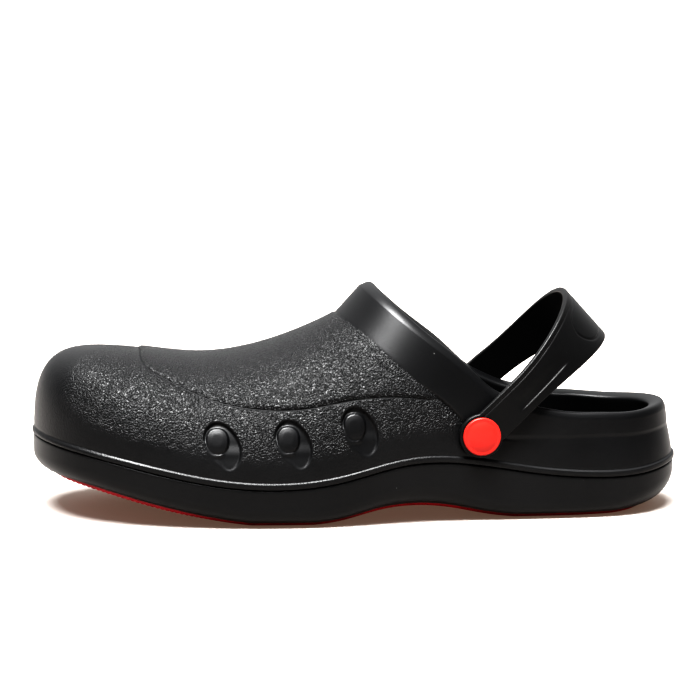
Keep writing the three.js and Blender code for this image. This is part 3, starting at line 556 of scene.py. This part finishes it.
def upperOutside():
    sheets, edges = [], {}
    for side in (lateral, medial):
        for part, angles in (("rear", rearAngles), ("front", frontAngles)):
            sides = np.where(tipsAt(angles), lateral, side)
            if part == "rear":
                tops = findPlace(np.zeros(len(angles)), np.full(len(angles), halfTurn),
                                 lambda turn: overCollar(sides, angles, turn))
                tops[-1] = halfTurn
            else:
                tops = np.full(len(angles), halfTurn)
            turns = np.stack([outerTurns(a, t, upper["rows"]) for a, t in zip(angles, tops)])
            sideGrid = np.broadcast_to(sides[:, None], turns.shape).copy()
            sideGrid[turns > halfTurn - 1e-9] = lateral
            angleGrid = np.broadcast_to(angles[:, None], turns.shape)
            point, relief, marks = reliefAt(side, angleGrid, turns)
            shared = sideGrid != side
            if shared.any():
                point[shared] = shellPoint(sideGrid, angleGrid, turns, 0.0)[shared]
            moved = point + shellNormal(sideGrid, angleGrid, turns) * relief[..., None]
            sheets.append((moved, side < 0, marks))
            edges[side, part] = (moved, tops, sides)
    return sheets, edges


def upperInside(edges):
    sheets, rings = [], []
    for side in (lateral, medial):
        for part, angles in (("rear", rearAngles), ("front", frontAngles)):
            moved, tops, sides = edges[side, part]
            share = np.linspace(0, 1, upper["insideRows"])
            turns = tops[:, None] * share[None] ** 0.9
            turns[:, -1] = tops
            sideGrid = np.broadcast_to(sides[:, None], turns.shape).copy()
            sideGrid[turns > halfTurn - 1e-9] = lateral
            inner = innerPoint(sideGrid, np.broadcast_to(angles[:, None], turns.shape), turns)
            sheets.append((inner, side > 0, {}))
            if part == "rear":
                rings.append((moved[:, -1], inner[:, -1]))
    # the lip of the collar, a squared half circle from the outer to the inner edge all the way round
    outer = np.concatenate([rings[0][0], rings[1][0][-2:0:-1]])
    inner = np.concatenate([rings[0][1], rings[1][1][-2:0:-1]])
    middle, across = (outer + inner) / 2, (outer - inner) / 2
    run = np.roll(outer, -1, 0) - np.roll(outer, 1, 0)
    away = unit(np.cross(run, across)) * np.linalg.norm(across, axis=-1, keepdims=True)
    bend = np.linspace(0, np.pi, upper["lipRows"] + 1)[None, :, None]
    square = np.sqrt(np.abs(np.cos(bend))) * np.sign(np.cos(bend))
    lip = middle[:, None] + across[:, None] * square + away[:, None] * np.sin(bend) ** 0.5
    lip[:, 0], lip[:, -1] = outer, inner
    lip = np.concatenate([lip, lip[:1]])
    sheets.append((lip, True, {}))
    return sheets


outsideSheets, edges = upperOutside()
insideSheets = upperInside(edges)
lipSheet = insideSheets.pop()
upperShell = makePiece("upper_shell", outsideSheets + [lipSheet])
upperLining = makePiece("upper_inside", insideSheets)
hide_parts("upper")
print("upper made", len(upperShell.data.polygons), len(upperLining.data.polygons))

# Midsole: foam sole with its rounded lower corner, a small shoulder at the top and the tread's pocket
midsole = {
    "fitGap": 0.3, "inset": 0.6, "corner": 5.0, "drop": 1.8, "lip": 1.5, "shoulder": 0.9,
    "thickness": 3.6, "pocketClear": 0.15, "cornerShare": 0.8, "cornerSteps": 10, "wallSteps": 11,
    "shoulderSteps": 6,
}
allAngles = np.concatenate([rearAngles[:-1], frontAngles])


def cornerAt(x):
    return midsole["corner"] * cornerShare(alongOf(x))


def pocketInset(angle):
    return midsole["inset"] + cornerAt(xAt(angle)) + midsole["lip"]


def lifted(flat, height):
    return raised(flat, height(flat[..., 0]))


def soleBottom(x):
    return treadZ(x) + midsole["drop"]


def soleTop(x):
    return seamZ(x) - midsole["fitGap"]


def pocketTop(x):
    return treadZ(x) + midsole["thickness"] + midsole["fitGap"] + midsole["pocketClear"]


# Half section from the middle of the pocket out under the lip, round the corner and up the side
def midsoleSheet(side):
    angle = allAngles
    sides = np.where(tipsAt(angle), lateral, side)
    x = xAt(angle)
    corner = cornerAt(x)
    cornerTall = np.minimum(corner, midsole["cornerShare"] * (soleTop(x) - soleBottom(x)))
    middle = middlePoint(angle)
    pocket = edgePoint(sides, angle, pocketInset(angle))
    columns = [lifted(middle, pocketTop), lifted(pocket, pocketTop), lifted(pocket, soleBottom)]
    columns.append(lifted(edgePoint(sides, angle, pocketInset(angle) - 0.3), soleBottom))
    for turn in np.linspace(halfTurn, 0, midsole["cornerSteps"] + 1):
        flat = edgePoint(sides, angle, midsole["inset"] + corner * (1 - math.cos(turn)))
        point = lifted(flat, soleBottom)
        point[..., 2] += cornerTall * (1 - math.sin(turn))
        columns.append(point)
    low = columns[-1][..., 2]
    edge = edgePoint(sides, angle, midsole["inset"])
    high = soleTop(edge[..., 0]) - midsole["shoulder"]
    for share in np.linspace(0, 1, midsole["wallSteps"] + 1)[1:]:
        columns.append(raised(edge, low + (high - low) * share))
    for turn in np.linspace(0, halfTurn, midsole["shoulderSteps"] + 1)[1:]:
        flat = edgePoint(sides, angle, midsole["inset"] + midsole["shoulder"] * (1 - math.cos(turn)))
        point = lifted(flat, soleTop)
        point[..., 2] -= midsole["shoulder"] * (1 - math.sin(turn))
        columns.append(point)
    inside = edgePoint(sides, angle, wallAt(sides, angle, np.zeros_like(angle)))
    columns += [lifted(inside, soleTop), lifted(middle, soleTop)]
    return np.stack(columns, 1), side < 0, {}


midsolePiece = makePiece("midsole_foam", [midsoleSheet(lateral), midsoleSheet(medial)])
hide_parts("midsole")
print("midsole made")

# Outsole: rubber tread plate with grooves across it, closed by a rim with a finely notched edge
outsole = {
    "pitch": 11.0, "groove": 3.0, "depth": 1.6, "rim": 3.5, "soft": 0.3, "thickness": 3.6,
    "notchPitch": 2.1, "notch": 0.3, "bevel": 1.3, "bevelWide": 1.6, "bevelFrom": (0.2, 0.4),
    "edgeSteps": 1441, "stations": 620, "crowding": 0.12, "across": 96,
}


# The groove's depth at a place along the sole: 0 on a lug, full in the gap between two lugs
def grooveAt(x):
    phase = x / outsole["pitch"] + 0.5
    gap = np.abs(phase - np.round(phase)) * outsole["pitch"]
    half, soft = outsole["groove"] / 2, outsole["soft"]
    return outsole["depth"] * (1 - smoothstep(gap, half - soft, half + soft))


# Rows run across from the lateral to the medial edge, a little closer together at the toe and heel.
# Notches and, behind the toe, a small bevel rise from the rim's lower edge.
def outsoleSheets():
    angles = np.linspace(0, np.pi, outsole["edgeSteps"])
    edges = [edgePoint(np.full(len(angles), side), angles, pocketInset(angles) + midsole["fitGap"])
             for side in (lateral, medial)]
    back, front = edges[0][0], edges[0][-1]
    turn = np.linspace(0, np.pi, outsole["stations"] + 1)
    even = np.linspace(front[0], back[0], outsole["stations"] + 1)
    crowded = (front[0] + back[0] - (back[0] - front[0]) * np.cos(turn)) / 2
    xs = outsole["crowding"] * crowded + (1 - outsole["crowding"]) * even
    low, high = (np.interp(xs, line[::-1, 0], line[::-1, 1]) for line in edges)
    low[0] = high[0] = front[1]
    low[-1] = high[-1] = back[1]
    share = np.linspace(-1, 1, outsole["across"] + 1)
    y = (low + high)[:, None] / 2 + (high - low)[:, None] / 2 * share
    x = np.broadcast_to(xs[:, None], y.shape)
    inward = (high - low)[:, None] / 2 * (1 - np.abs(share))
    inward = np.minimum(inward, np.minimum(x - front[0], back[0] - x))
    closed = smoothstep(inward, outsole["rim"] - 0.4, outsole["rim"] + 0.4)
    notch = outsole["notch"] * (0.5 + 0.5 * np.cos(2 * np.pi * x / outsole["notchPitch"])) ** 2
    cut = notch + outsole["bevel"] * smoothstep(alongOf(x), *outsole["bevelFrom"])
    z = treadZ(x) + grooveAt(x) * closed + cut * (1 - smoothstep(inward, 0.2, outsole["bevelWide"]))
    under = np.stack([x, y, z], -1)
    top = np.stack([x, y, treadZ(x) + outsole["thickness"]], -1)
    sheets = [(under, False, {}), (top[:, [0, outsole["across"] // 2, -1]], True, {})]
    for j, flip in ((0, True), (-1, False)):
        sheets.append((np.stack([under[:, j], (under[:, j] + top[:, j]) / 2, top[:, j]], 1), flip, {}))
    return sheets


outsolePiece = makePiece("outsole_rubber", outsoleSheets())
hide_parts("outsole")
print("outsole made")

# Insole: dished footbed that closes the bottom of the inside
insole = {"thickness": 3.5, "dish": 1.5, "gap": 0.3, "rings": 25, "rimShare": 0.38}


def insoleSheet(side):
    angle = allAngles
    sides = np.where(tipsAt(angle), lateral, side)
    x = xAt(angle)
    middle = middlePoint(angle)
    zero = np.zeros_like(angle)
    low = shellPoint(sides, angle, zero, wallAt(sides, angle, zero) + insole["gap"])
    rise = (insole["thickness"] + insole["dish"]) / (crestZ(crestPoint(angle)[..., 0]) - seamZ(x))
    turn = turnAtRise(fullAt(alongOf(x)), rise)
    high = shellPoint(sides, angle, turn, wallAt(sides, angle, turn) + insole["gap"])
    columns = [lifted(middle, seamZ), lifted(low[..., :2], seamZ), (low + high) / 2, high]
    for share in np.linspace(0, 1, insole["rings"] + 1)[1:]:
        flat = high[..., :2] + (middle - high[..., :2]) * share
        bed = seamZ(flat[..., 0]) + insole["thickness"]
        rim = np.maximum(high[..., 2] - bed, 0) if share < 1 else 0
        z = bed + rim * (1 - smoothstep(share, 0.0, insole["rimShare"]))
        columns.append(raised(flat, z))
    return np.stack(columns, 1), side < 0, {}


insolePiece = makePiece("insole_footbed", [insoleSheet(lateral), insoleSheet(medial)])
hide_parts("insole")
print("insole made")

# Rivets and the strap, in the same plane through both rivets as the solids
rivet = {
    "along": 0.671, "cap": 16.7, "rim": 1.5, "rise": 2.5, "capEdge": 0.35, "capRound": 0.7, "crownFull": 2.4,
    "shank": 6.0, "back": 10.0, "backDepth": 2.6, "backRound": 1.2,
    "grip": 1.3, "clear": 3.2, "medialLift": 2.7, "fitGap": 0.3, "turns": 96,
}
strap = {
    "reach": 70.0, "lean": 0.3, "tilt": 42.5, "thickness": 2.9, "bevel": 0.72, "armWidth": 15.8,
    "backWidth": 27.0, "endWidth": 19.4, "armPull": 0.62, "backPull": 0.34, "stations": 420, "ends": 15,
    "rim": 2.2, "rimStep": 0.12, "rimLine": 0.4, "lineWide": 0.28, "rimFrom": (-2, 6), "rimEnd": (26, 12),
    "slotDepth": 0.38, "slotFrom": 19.0, "slotTo": 52.0, "slotFade": 5.0, "slotMiddle": 0.6,
    "padDepth": 0.35, "padWide": 0.45, "padReach": 18.0, "padMargin": 4.2, "padRound": 9.0,
}


# Farthest point of a surface along a direction, within a radius of the rivet's axis
def reachWithin(surface, place, direction, radius):
    steps = np.arange(-14, 15) / 14
    angle = place["angle"] + 2.4 * radius / last["length"] * 2 * steps[:, None]
    turn = np.maximum(0, place["turn"] + radius / last["instepHeight"] * 2.6 * steps[None])
    angle, turn = np.broadcast_arrays(angle, turn)
    offset = surface(np.full(angle.shape, place["side"]), angle, turn) - place["point"]
    ahead = offset @ direction
    beside = np.linalg.norm(offset - ahead[..., None] * direction, axis=-1)
    return float(ahead[beside <= radius].max())


def rivetPlace(side):
    x = (rivet["along"] - 0.5) * last["length"]
    lift = rivet["clear"] + (rivet["medialLift"] if side == medial else 0)
    height = insole["thickness"] + insole["dish"] + rivet["back"] / 2 + lift
    angle = math.acos(2 * rivet["along"] - 1)
    turn = float(turnAtRise(fullAt(rivet["along"]), height / (crestZ(x) - seamZ(x))))
    at = (np.array(side), np.array(angle), np.array(turn))
    return {"side": side, "angle": angle, "turn": turn, "point": plainOuter(*at), "out": shellNormal(*at)}


places = [rivetPlace(lateral), rivetPlace(medial)]
acrossStrap = places[1]["point"] - places[0]["point"]
span = float(np.linalg.norm(acrossStrap))
acrossStrap = acrossStrap / span
tilt = math.radians(strap["tilt"])
backStrap = np.array([math.cos(tilt), 0, math.sin(tilt)])
backStrap = unit(backStrap - acrossStrap * (backStrap @ acrossStrap))
upStrap = np.cross(backStrap, acrossStrap)
for place in places:
    lean = -(place["out"] @ backStrap) / (place["out"] @ acrossStrap)
    place["along"] = unit(backStrap + acrossStrap * strap["lean"] * lean)
    place["axis"] = unit(np.cross(place["along"], upStrap) * -place["side"])
    place["seat"] = reachWithin(plainOuter, place, place["axis"], strap["endWidth"] / 2) + rivet["fitGap"]
    place["backSeat"] = reachWithin(innerPoint, place, -place["axis"], rivet["back"] / 2) + rivet["fitGap"]
    place["line"] = place["point"] + place["axis"] * (place["seat"] + strap["thickness"] / 2)


def bezier(points, count):
    t = np.linspace(0, 1, count)[:, None]
    a, b, c, d = points
    return (1 - t) ** 3 * a + 3 * (1 - t) ** 2 * t * b + 3 * (1 - t) * t * t * c + t ** 3 * d


# Middle line of the strap from the lateral to the medial rivet, with its round ends, at even steps
def strapPath():
    near, far = places
    end = (near["line"] + far["line"]) / 2 + backStrap * strap["reach"]
    arm, bend = strap["reach"] * strap["armPull"], span * strap["backPull"]
    first = bezier((near["line"], near["line"] + near["along"] * arm, end - acrossStrap * bend, end), 800)
    second = bezier((end, end + acrossStrap * bend, far["line"] + far["along"] * arm, far["line"]), 800)
    line = np.concatenate([first, second[1:]])
    run = np.concatenate([[0], np.cumsum(np.linalg.norm(np.diff(line, axis=0), axis=1))])
    half = strap["endWidth"] / 2
    total = run[-1]
    ends = half * (1 - np.cos(halfTurn * np.linspace(0, 1, strap["ends"])))
    even = np.linspace(0, total, strap["stations"])
    stations = np.concatenate([ends[:-1] - half, even, total + half - ends[-2::-1]])
    inside = np.clip(stations, 0, total)
    points = np.stack([np.interp(inside, run, line[:, k]) for k in range(3)], -1)
    ahead = unit(np.gradient(points, axis=0))
    ahead[stations < 0.01], ahead[stations > total - 0.01] = near["along"], -far["along"]
    points += ahead * (stations - inside)[:, None]
    distance = total / 2 - np.abs(stations - total / 2)
    return points, ahead, distance, total / 2


def strapHalfWidth(distance, halfLength):
    end = strap["endWidth"] / 2
    roundEnd = np.sqrt(np.maximum(0, end * end - distance ** 2))
    widen = smoothstep(distance, 0.3 * halfLength, 0.95 * halfLength)
    arm = (strap["armWidth"] + (strap["backWidth"] - strap["armWidth"]) * widen) / 2
    return np.where(distance < 0, roundEnd, np.maximum(roundEnd, arm))


# The strap's section is carried along its line: a flat bar with rounded edges, a line inside the
# upper edge, a slot on each arm that is deepest along its lower side, and a pad's outline at the
# back, all on the outer face
def strapSheets():
    points, ahead, distance, halfLength = strapPath()
    half = strapHalfWidth(distance, halfLength)
    face = unit(np.cross(ahead, np.broadcast_to(upStrap, ahead.shape)))
    deep = strap["thickness"] / 2
    share = np.concatenate([[-1, -0.985, -0.96], np.linspace(-0.93, 0.93, 56), [0.96, 0.985, 1]])
    acrossWay = half[:, None] * share[None]
    fromEdge = half[:, None] * (1 - np.abs(share))[None]
    bevel = np.minimum(strap["bevel"], half[:, None] / 2)
    roundOff = bevel - np.sqrt(np.maximum(0, bevel ** 2 - np.maximum(0, bevel - fromEdge) ** 2))
    along = np.broadcast_to(distance[:, None], acrossWay.shape)
    fromRim = half[:, None] - acrossWay - strap["rim"]
    rimLine = strap["rimLine"] * np.exp(-(fromRim / strap["lineWide"]) ** 2)
    rimAlong = smoothstep(along, *strap["rimFrom"])
    rimAlong = rimAlong * (1 - smoothstep(along, *(halfLength - end for end in strap["rimEnd"])))
    sunk = (strap["rimStep"] * smoothstep(fromRim, -0.25, 0.25) + rimLine) * rimAlong
    slotMid = (strap["slotFrom"] + strap["slotTo"]) / 2
    slotHalf = (strap["slotTo"] - strap["slotFrom"]) / 2
    slotEnds = 1 - smoothstep(np.abs(along - slotMid), slotHalf - strap["slotFade"], slotHalf)
    slotRise = acrossWay + strap["slotMiddle"]
    slotAcross = smoothstep(slotRise, -3.8, -3.4) * (1 - smoothstep(slotRise, -2.4, 3.2))
    slotDepth = strap["slotDepth"] * slotEnds * slotAcross
    padCorner = strap["padRound"]
    padWay = np.maximum(0, np.abs(along - halfLength) - strap["padReach"])
    padUp = np.maximum(0, np.abs(acrossWay) - (half[:, None] - strap["padMargin"] - padCorner))
    padLine = strap["padDepth"] * np.exp(-((np.hypot(padWay, padUp) - padCorner) / strap["padWide"]) ** 2)
    outward = deep - roundOff - sunk - slotDepth - padLine
    inward = -deep + roundOff
    up = np.broadcast_to(upStrap, points.shape)
    front = points[:, None] + up[:, None] * acrossWay[..., None] + face[:, None] * outward[..., None]
    rear = points[:, None] + up[:, None] * acrossWay[..., None] + face[:, None] * inward[..., None]
    sheets = [(front, True, {}), (rear, False, {})]
    for j, flip in ((0, True), (-1, False)):
        sheets.append((np.stack([rear[:, j], (rear[:, j] + front[:, j]) / 2, front[:, j]], 1), flip, {}))
    for i, flip in ((0, False), (-1, True)):
        sheets.append((np.stack([rear[i], front[i]], 1), flip, {}))
    return sheets


strapPiece = makePiece("strap_band", strapSheets())
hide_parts("strap")
print("strap made")


# A turned piece: a profile of (radius, height) carried round the rivet's axis
def turnedPiece(name, profile, place):
    profile = np.array(profile, float)
    axis = place["axis"]
    u = unit(np.cross(axis, np.array([0.3, 0.1, 1.0])))
    v = np.cross(axis, u)
    turn = np.linspace(0, 2 * np.pi, rivet["turns"] + 1)
    ring = np.cos(turn)[:, None, None] * u + np.sin(turn)[:, None, None] * v
    grid = place["point"] + ring * profile[None, :, :1] + axis * profile[None, :, 1:]
    grid[-1] = grid[0]
    return makePiece(name, [(grid, False, {})])


# The rounded lower edge of a turned piece, out from a radius and up from a height
def quarterRound(radius, height, size, count):
    turns = np.linspace(0, halfTurn, count)
    return [(radius + size * math.sin(turn), height + size * (1 - math.cos(turn))) for turn in turns]


for place in places:
    sideName = "lateral" if place["side"] == lateral else "medial"
    head = place["seat"] + strap["thickness"] + rivet["fitGap"]
    edge, shank, tip = rivet["cap"] / 2, rivet["shank"] / 2, -place["backSeat"] - rivet["grip"]
    inner = edge - rivet["capEdge"]
    profile = [(0, tip), (shank, tip), (shank, head), (inner, head)]
    profile += quarterRound(inner, head, rivet["capEdge"], 6)
    top, flat = head + rivet["rim"], edge - rivet["capRound"]
    for turn in np.linspace(0, halfTurn, 9):
        out, up = rivet["capRound"] * math.cos(turn), rivet["capRound"] * math.sin(turn)
        profile.append((flat + out, top - rivet["capRound"] + up))
    # a fine sunk ring parts the rim from the crown
    profile += [(flat - 0.25, top), (flat - 0.55, top - 0.06)]
    crown = rivet["rise"] - rivet["rim"]
    for share in np.linspace(1, 0, 16):
        profile.append(((flat - 0.9) * share, top - 0.05 + crown * (1 - share ** rivet["crownFull"])))
    capPiece = turnedPiece("cap_" + sideName, profile, place)
    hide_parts("rivet_cap_" + sideName)
    seat = -place["backSeat"]
    radius, hole = rivet["back"] / 2, shank + rivet["fitGap"]
    end, bottom = seat - rivet["backDepth"], seat - rivet["grip"] - rivet["fitGap"]
    inner = radius - rivet["backRound"]
    profile = [(0, end), (inner, end)] + quarterRound(inner, end, rivet["backRound"], 7)
    profile += [(radius, seat), (hole, seat), (hole, bottom), (0, bottom)]
    backPiece = turnedPiece("back_" + sideName, profile, place)
    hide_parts("rivet_back_" + sideName)
print("rivets made")


# A socket that takes part in Python expressions, each adding its Math nodes
class Port:
    def __init__(self, tree, socket):
        self.tree, self.socket = tree, socket

    def maths(self, operation, *values):
        return self.tree.add("ShaderNodeMath", {"operation": operation}, dict(enumerate(values)))

    def __add__(self, other):
        return self.maths("ADD", self, other)

    def __radd__(self, other):
        return self.maths("ADD", other, self)

    def __sub__(self, other):
        return self.maths("SUBTRACT", self, other)

    def __rsub__(self, other):
        return self.maths("SUBTRACT", other, self)

    def __mul__(self, other):
        return self.maths("MULTIPLY", self, other)

    def __rmul__(self, other):
        return self.maths("MULTIPLY", other, self)

    def __abs__(self):
        return self.maths("ABSOLUTE", self)

    def smooth(self, low, high):
        inputs = {"Value": self, "From Min": low, "From Max": high}
        return self.tree.add("ShaderNodeMapRange", {"interpolation_type": "SMOOTHSTEP"}, inputs)


class Nodes:
    def __init__(self, tree):
        self.nodes, self.links = tree.nodes, tree.links
        self.nodes.clear()

    # One node: its type, its settings, then the values or links of its sockets
    def add(self, kind, settings=None, inputs=None, output=0):
        node = self.nodes.new(kind)
        for key, value in (settings or {}).items():
            setattr(node, key, value)
        for key, value in (inputs or {}).items():
            if isinstance(value, Port):
                self.links.new(value.socket, node.inputs[key])
            else:
                node.inputs[key].default_value = value
        return Port(self, node.outputs[output])


class Finish(Nodes):
    def __init__(self, name):
        self.material = bpy.data.materials.new(name)
        self.material.use_nodes = True
        super().__init__(self.material.node_tree)
        self.place = self.add("ShaderNodeTexCoord", output="Object")

    def mark(self, name):
        return self.add("ShaderNodeAttribute", {"attribute_name": name}, output="Fac")

    def noise(self, scale, detail=2.0, where=None):
        inputs = {"Vector": where or self.place, "Scale": scale, "Detail": detail}
        return self.add("ShaderNodeTexNoise", {}, inputs, "Fac")

    def cells(self, scale, where=None):
        inputs = {"Vector": where or self.place, "Scale": scale}
        return self.add("ShaderNodeTexVoronoi", {}, inputs, "Distance")

    # Specks of dust in patches, 1 on a speck
    def dust(self, scale, patch, low, high):
        return (1 - self.cells(scale).smooth(0.02, 0.05)) * self.noise(patch, 1.0).smooth(low, high)

    def tint(self, share, first, second):
        inputs = {"Factor": share, 6: first, 7: second}
        return self.add("ShaderNodeMix", {"data_type": "RGBA"}, inputs, 2)

    # The shader, with the height and the reach in metres of its bump
    def shader(self, base, rough, level, height=None, reach=0.0, **more):
        inputs = {"Base Color": base, "Roughness": rough, "Specular IOR Level": level, **more}
        if height:
            bumpInputs = {"Height": height, "Distance": reach, "Strength": 1.0}
            inputs["Normal"] = self.add("ShaderNodeBump", {}, bumpInputs, "Normal")
        surface = self.add("ShaderNodeBsdfPrincipled", {}, inputs)
        out = self.nodes.new("ShaderNodeOutputMaterial")
        self.links.new(surface.socket, out.inputs["Surface"])
        return self.material


def colour(r, g, b):
    return (r, g, b, 1.0)


# Foam: black, with a pressed leather grain where the mark says, and satin elsewhere
def foamFinish():
    f = Finish("black foam")
    grain = f.mark("grain")
    warp = f.noise(380.0)
    shifted = f.add("ShaderNodeVectorMath", {"operation": "MULTIPLY_ADD"},
                    {0: warp, 1: (0.0014, 0.0014, 0.0014), 2: f.place}, "Vector")
    worms = f.noise(1350.0, 1.0, shifted).smooth(0.4, 0.62)
    pebble = f.cells(1200.0, shifted)
    fine = f.noise(3200.0)
    broad = f.noise(22.0, 3.0)
    dust = f.dust(150.0, 60.0, 0.62, 0.66)
    # the panel mark runs from 0 to 1 over this reach, with the edge of the panel at a half
    reach = upper["panelMark"]
    line = (1 - abs(f.mark("panel") * reach - (reach / 2 - 0.25)).smooth(0.12, 0.5)) * f.mark("seen")
    height = (worms * 0.8 - pebble * 0.7) * (grain * 0.97 + 0.015) * (1 - line) + fine * 0.03 - line * 1.1
    worn = f.tint(broad.smooth(0.35, 0.75), colour(0.0026, 0.0027, 0.003), colour(0.0045, 0.0046, 0.005))
    base = f.tint(dust, worn, colour(0.14, 0.14, 0.135))
    rough = 0.37 + broad * 0.06 - grain * 0.02 + dust * 0.2 + line * 0.25
    return f.shader(base, rough, 0.27, height, 0.0004)


def rubberFinish():
    f = Finish("red tread rubber")
    broad = f.noise(45.0, 3.0)
    fine = f.noise(1800.0, 3.0)
    base = f.tint(broad.smooth(0.3, 0.75), colour(0.2, 0.003, 0.008), colour(0.27, 0.005, 0.012))
    return f.shader(base, 0.52 + broad * 0.15, 0.4, fine, 0.00008)


def liningFinish():
    f = Finish("footbed")
    weave = f.cells(900.0)
    broad = f.noise(35.0, 3.0)
    base = f.tint(broad, colour(0.011, 0.011, 0.012), colour(0.017, 0.017, 0.018))
    return f.shader(base, 0.78 + broad * 0.1, 0.3, weave, 0.00018)


def strapFinish():
    f = Finish("strap foam")
    broad = f.noise(40.0, 3.0)
    fine = f.noise(2600.0)
    worn = f.tint(broad, colour(0.0022, 0.0022, 0.0023), colour(0.0036, 0.0036, 0.0037))
    base = f.tint(f.dust(170.0, 70.0, 0.66, 0.7), worn, colour(0.16, 0.16, 0.15))
    return f.shader(base, 0.36 + broad * 0.08, 0.24, fine, 0.00004)


def capFinish():
    f = Finish("red cap")
    broad = f.noise(90.0)
    fine = f.noise(1500.0)
    base = f.tint(broad, colour(0.3, 0.016, 0.011), colour(0.34, 0.02, 0.014))
    return f.shader(base, 0.34 + broad * 0.08, 0.3, fine, 0.00001)


def backFinish():
    f = Finish("rivet back")
    broad = f.noise(200.0)
    base = f.tint(broad, colour(0.012, 0.012, 0.013), colour(0.02, 0.02, 0.021))
    return f.shader(base, 0.45 + broad * 0.1, 0.5, broad, 0.00003)


finishes = [
    (foamFinish(), ["upper_shell", "upper_inside", "midsole_foam"]), (rubberFinish(), ["outsole_rubber"]),
    (liningFinish(), ["insole_footbed"]), (strapFinish(), ["strap_band"]),
    (capFinish(), ["cap_lateral", "cap_medial"]), (backFinish(), ["back_lateral", "back_medial"])]
for material, names in finishes:
    for name in names:
        bpy.data.objects[name].data.materials.append(material)
print("finishes made")

# Camera, floor and light
studio = {
    "azimuth": -6.5, "elevation": 8.0, "roll": 0.45, "target": (-3.1, 0.0, 70.2), "distance": 1400.0,
    "scale": 2.238, "pixels": 700.0, "sensor": 36.0,
    "floorReach": 12.0, "floorDrop": 0.0002, "floorTone": (0.245, 0.237, 0.229, 1.0),
    # the floor's warm emission is painted fill light that lifts and warms its shadow
    "floorPaintedGlow": (0.12, 0.085, 0.066, 1.0), "domeFront": 0.05, "domeBack": 0.6, "domeTop": 0.8,
    "sun": 15.5, "sunWide": 32.0, "sunFrom": (-0.16, -0.34, 1.0),
    "front": 0.3, "frontFrom": (-0.35, -1.3, 0.9), "frontAim": (0, 0, 0.05),
    "frontWide": 0.9, "frontTall": 0.5,
}


def makeCamera():
    a, e, r = (math.radians(studio[key]) for key in ("azimuth", "elevation", "roll"))
    back = np.array([math.sin(a) * math.cos(e), -math.cos(a) * math.cos(e), math.sin(e)])
    right = np.array([math.cos(a), math.sin(a), 0.0])
    up = np.cross(back, right)
    turned = math.cos(r) * right + math.sin(r) * up
    raised = -math.sin(r) * right + math.cos(r) * up
    spot = (np.array(studio["target"]) + back * studio["distance"]) * 0.001
    camera = bpy.data.objects.new("camera", bpy.data.cameras.new("camera"))
    camera.data.sensor_width = studio["sensor"]
    camera.data.lens = studio["scale"] * studio["distance"] / studio["pixels"] * studio["sensor"]
    camera.data.clip_start, camera.data.clip_end = 0.05, 50
    matrix = Matrix.Identity(4)
    for k, axis in enumerate((turned, raised, back, spot)):
        for i in range(3):
            matrix[i][k] = axis[i]
    camera.matrix_world = matrix
    bpy.context.scene.collection.objects.link(camera)
    bpy.context.scene.camera = camera


def addLamp(name, kind, spot, aim, energy, **settings):
    light = bpy.data.lights.new(name, kind)
    light.energy = energy
    for key, value in settings.items():
        setattr(light, key, value)
    lamp = bpy.data.objects.new(name, light)
    lamp.location = spot
    lamp.rotation_euler = (Vector(aim) - Vector(spot)).to_track_quat("-Z", "Y").to_euler()
    bpy.context.scene.collection.objects.link(lamp)


# The floor glows with painted fill light of its own: a warm glow that lifts the shadow under the shoe and
# tints it warm, as bounce light from the red tread would
def makeFloor():
    far, low = studio["floorReach"], -studio["floorDrop"]
    mesh = bpy.data.meshes.new("floor")
    corners = [(-far, -far, low), (far, -far, low), (far, far, low), (-far, far, low)]
    mesh.from_pydata(corners, [], [(0, 1, 2, 3)])
    # painted fill light: the floor's warm emission lifts and warms the shadow under the shoe
    paintedGlow = {"Emission Color": studio["floorPaintedGlow"], "Emission Strength": 1.0}
    mesh.materials.append(Finish("pale floor").shader(studio["floorTone"], 0.9, 0.1, **paintedGlow))
    floor = bpy.data.objects.new("floor", mesh)
    bpy.context.scene.collection.objects.link(floor)


# White for the camera, and for all other light dark in front and brighter behind and above
def makeWorld():
    world = bpy.data.worlds.new("studio")
    world.use_nodes = True
    tree = Nodes(world.node_tree)
    seen = tree.add("ShaderNodeLightPath", output="Is Camera Ray")
    direction = tree.add("ShaderNodeTexCoord", output="Generated")
    behind = tree.add("ShaderNodeSeparateXYZ", {}, {"Vector": direction}, "Y").smooth(0.0, 0.8)
    above = tree.add("ShaderNodeSeparateXYZ", {}, {"Vector": direction}, "Z").smooth(0.2, 0.9)
    dome = studio["domeFront"] + studio["domeBack"] * behind + studio["domeTop"] * above
    strength = seen + dome * (1 - seen)
    background = tree.add("ShaderNodeBackground", {}, {"Color": colour(1, 1, 1), "Strength": strength})
    out = tree.nodes.new("ShaderNodeOutputWorld")
    tree.links.new(background.socket, out.inputs["Surface"])
    bpy.context.scene.world = world


makeCamera()
makeFloor()
makeWorld()
addLamp("overhead", "SUN", studio["sunFrom"], (0, 0, 0), studio["sun"], angle=math.radians(studio["sunWide"]))
addLamp("front", "AREA", studio["frontFrom"], studio["frontAim"], studio["front"],
        shape="RECTANGLE", size=studio["frontWide"], size_y=studio["frontTall"])
bpy.context.scene.view_settings.view_transform = "Standard"
bpy.context.scene.view_settings.look = "Very High Contrast"
print("studio made")
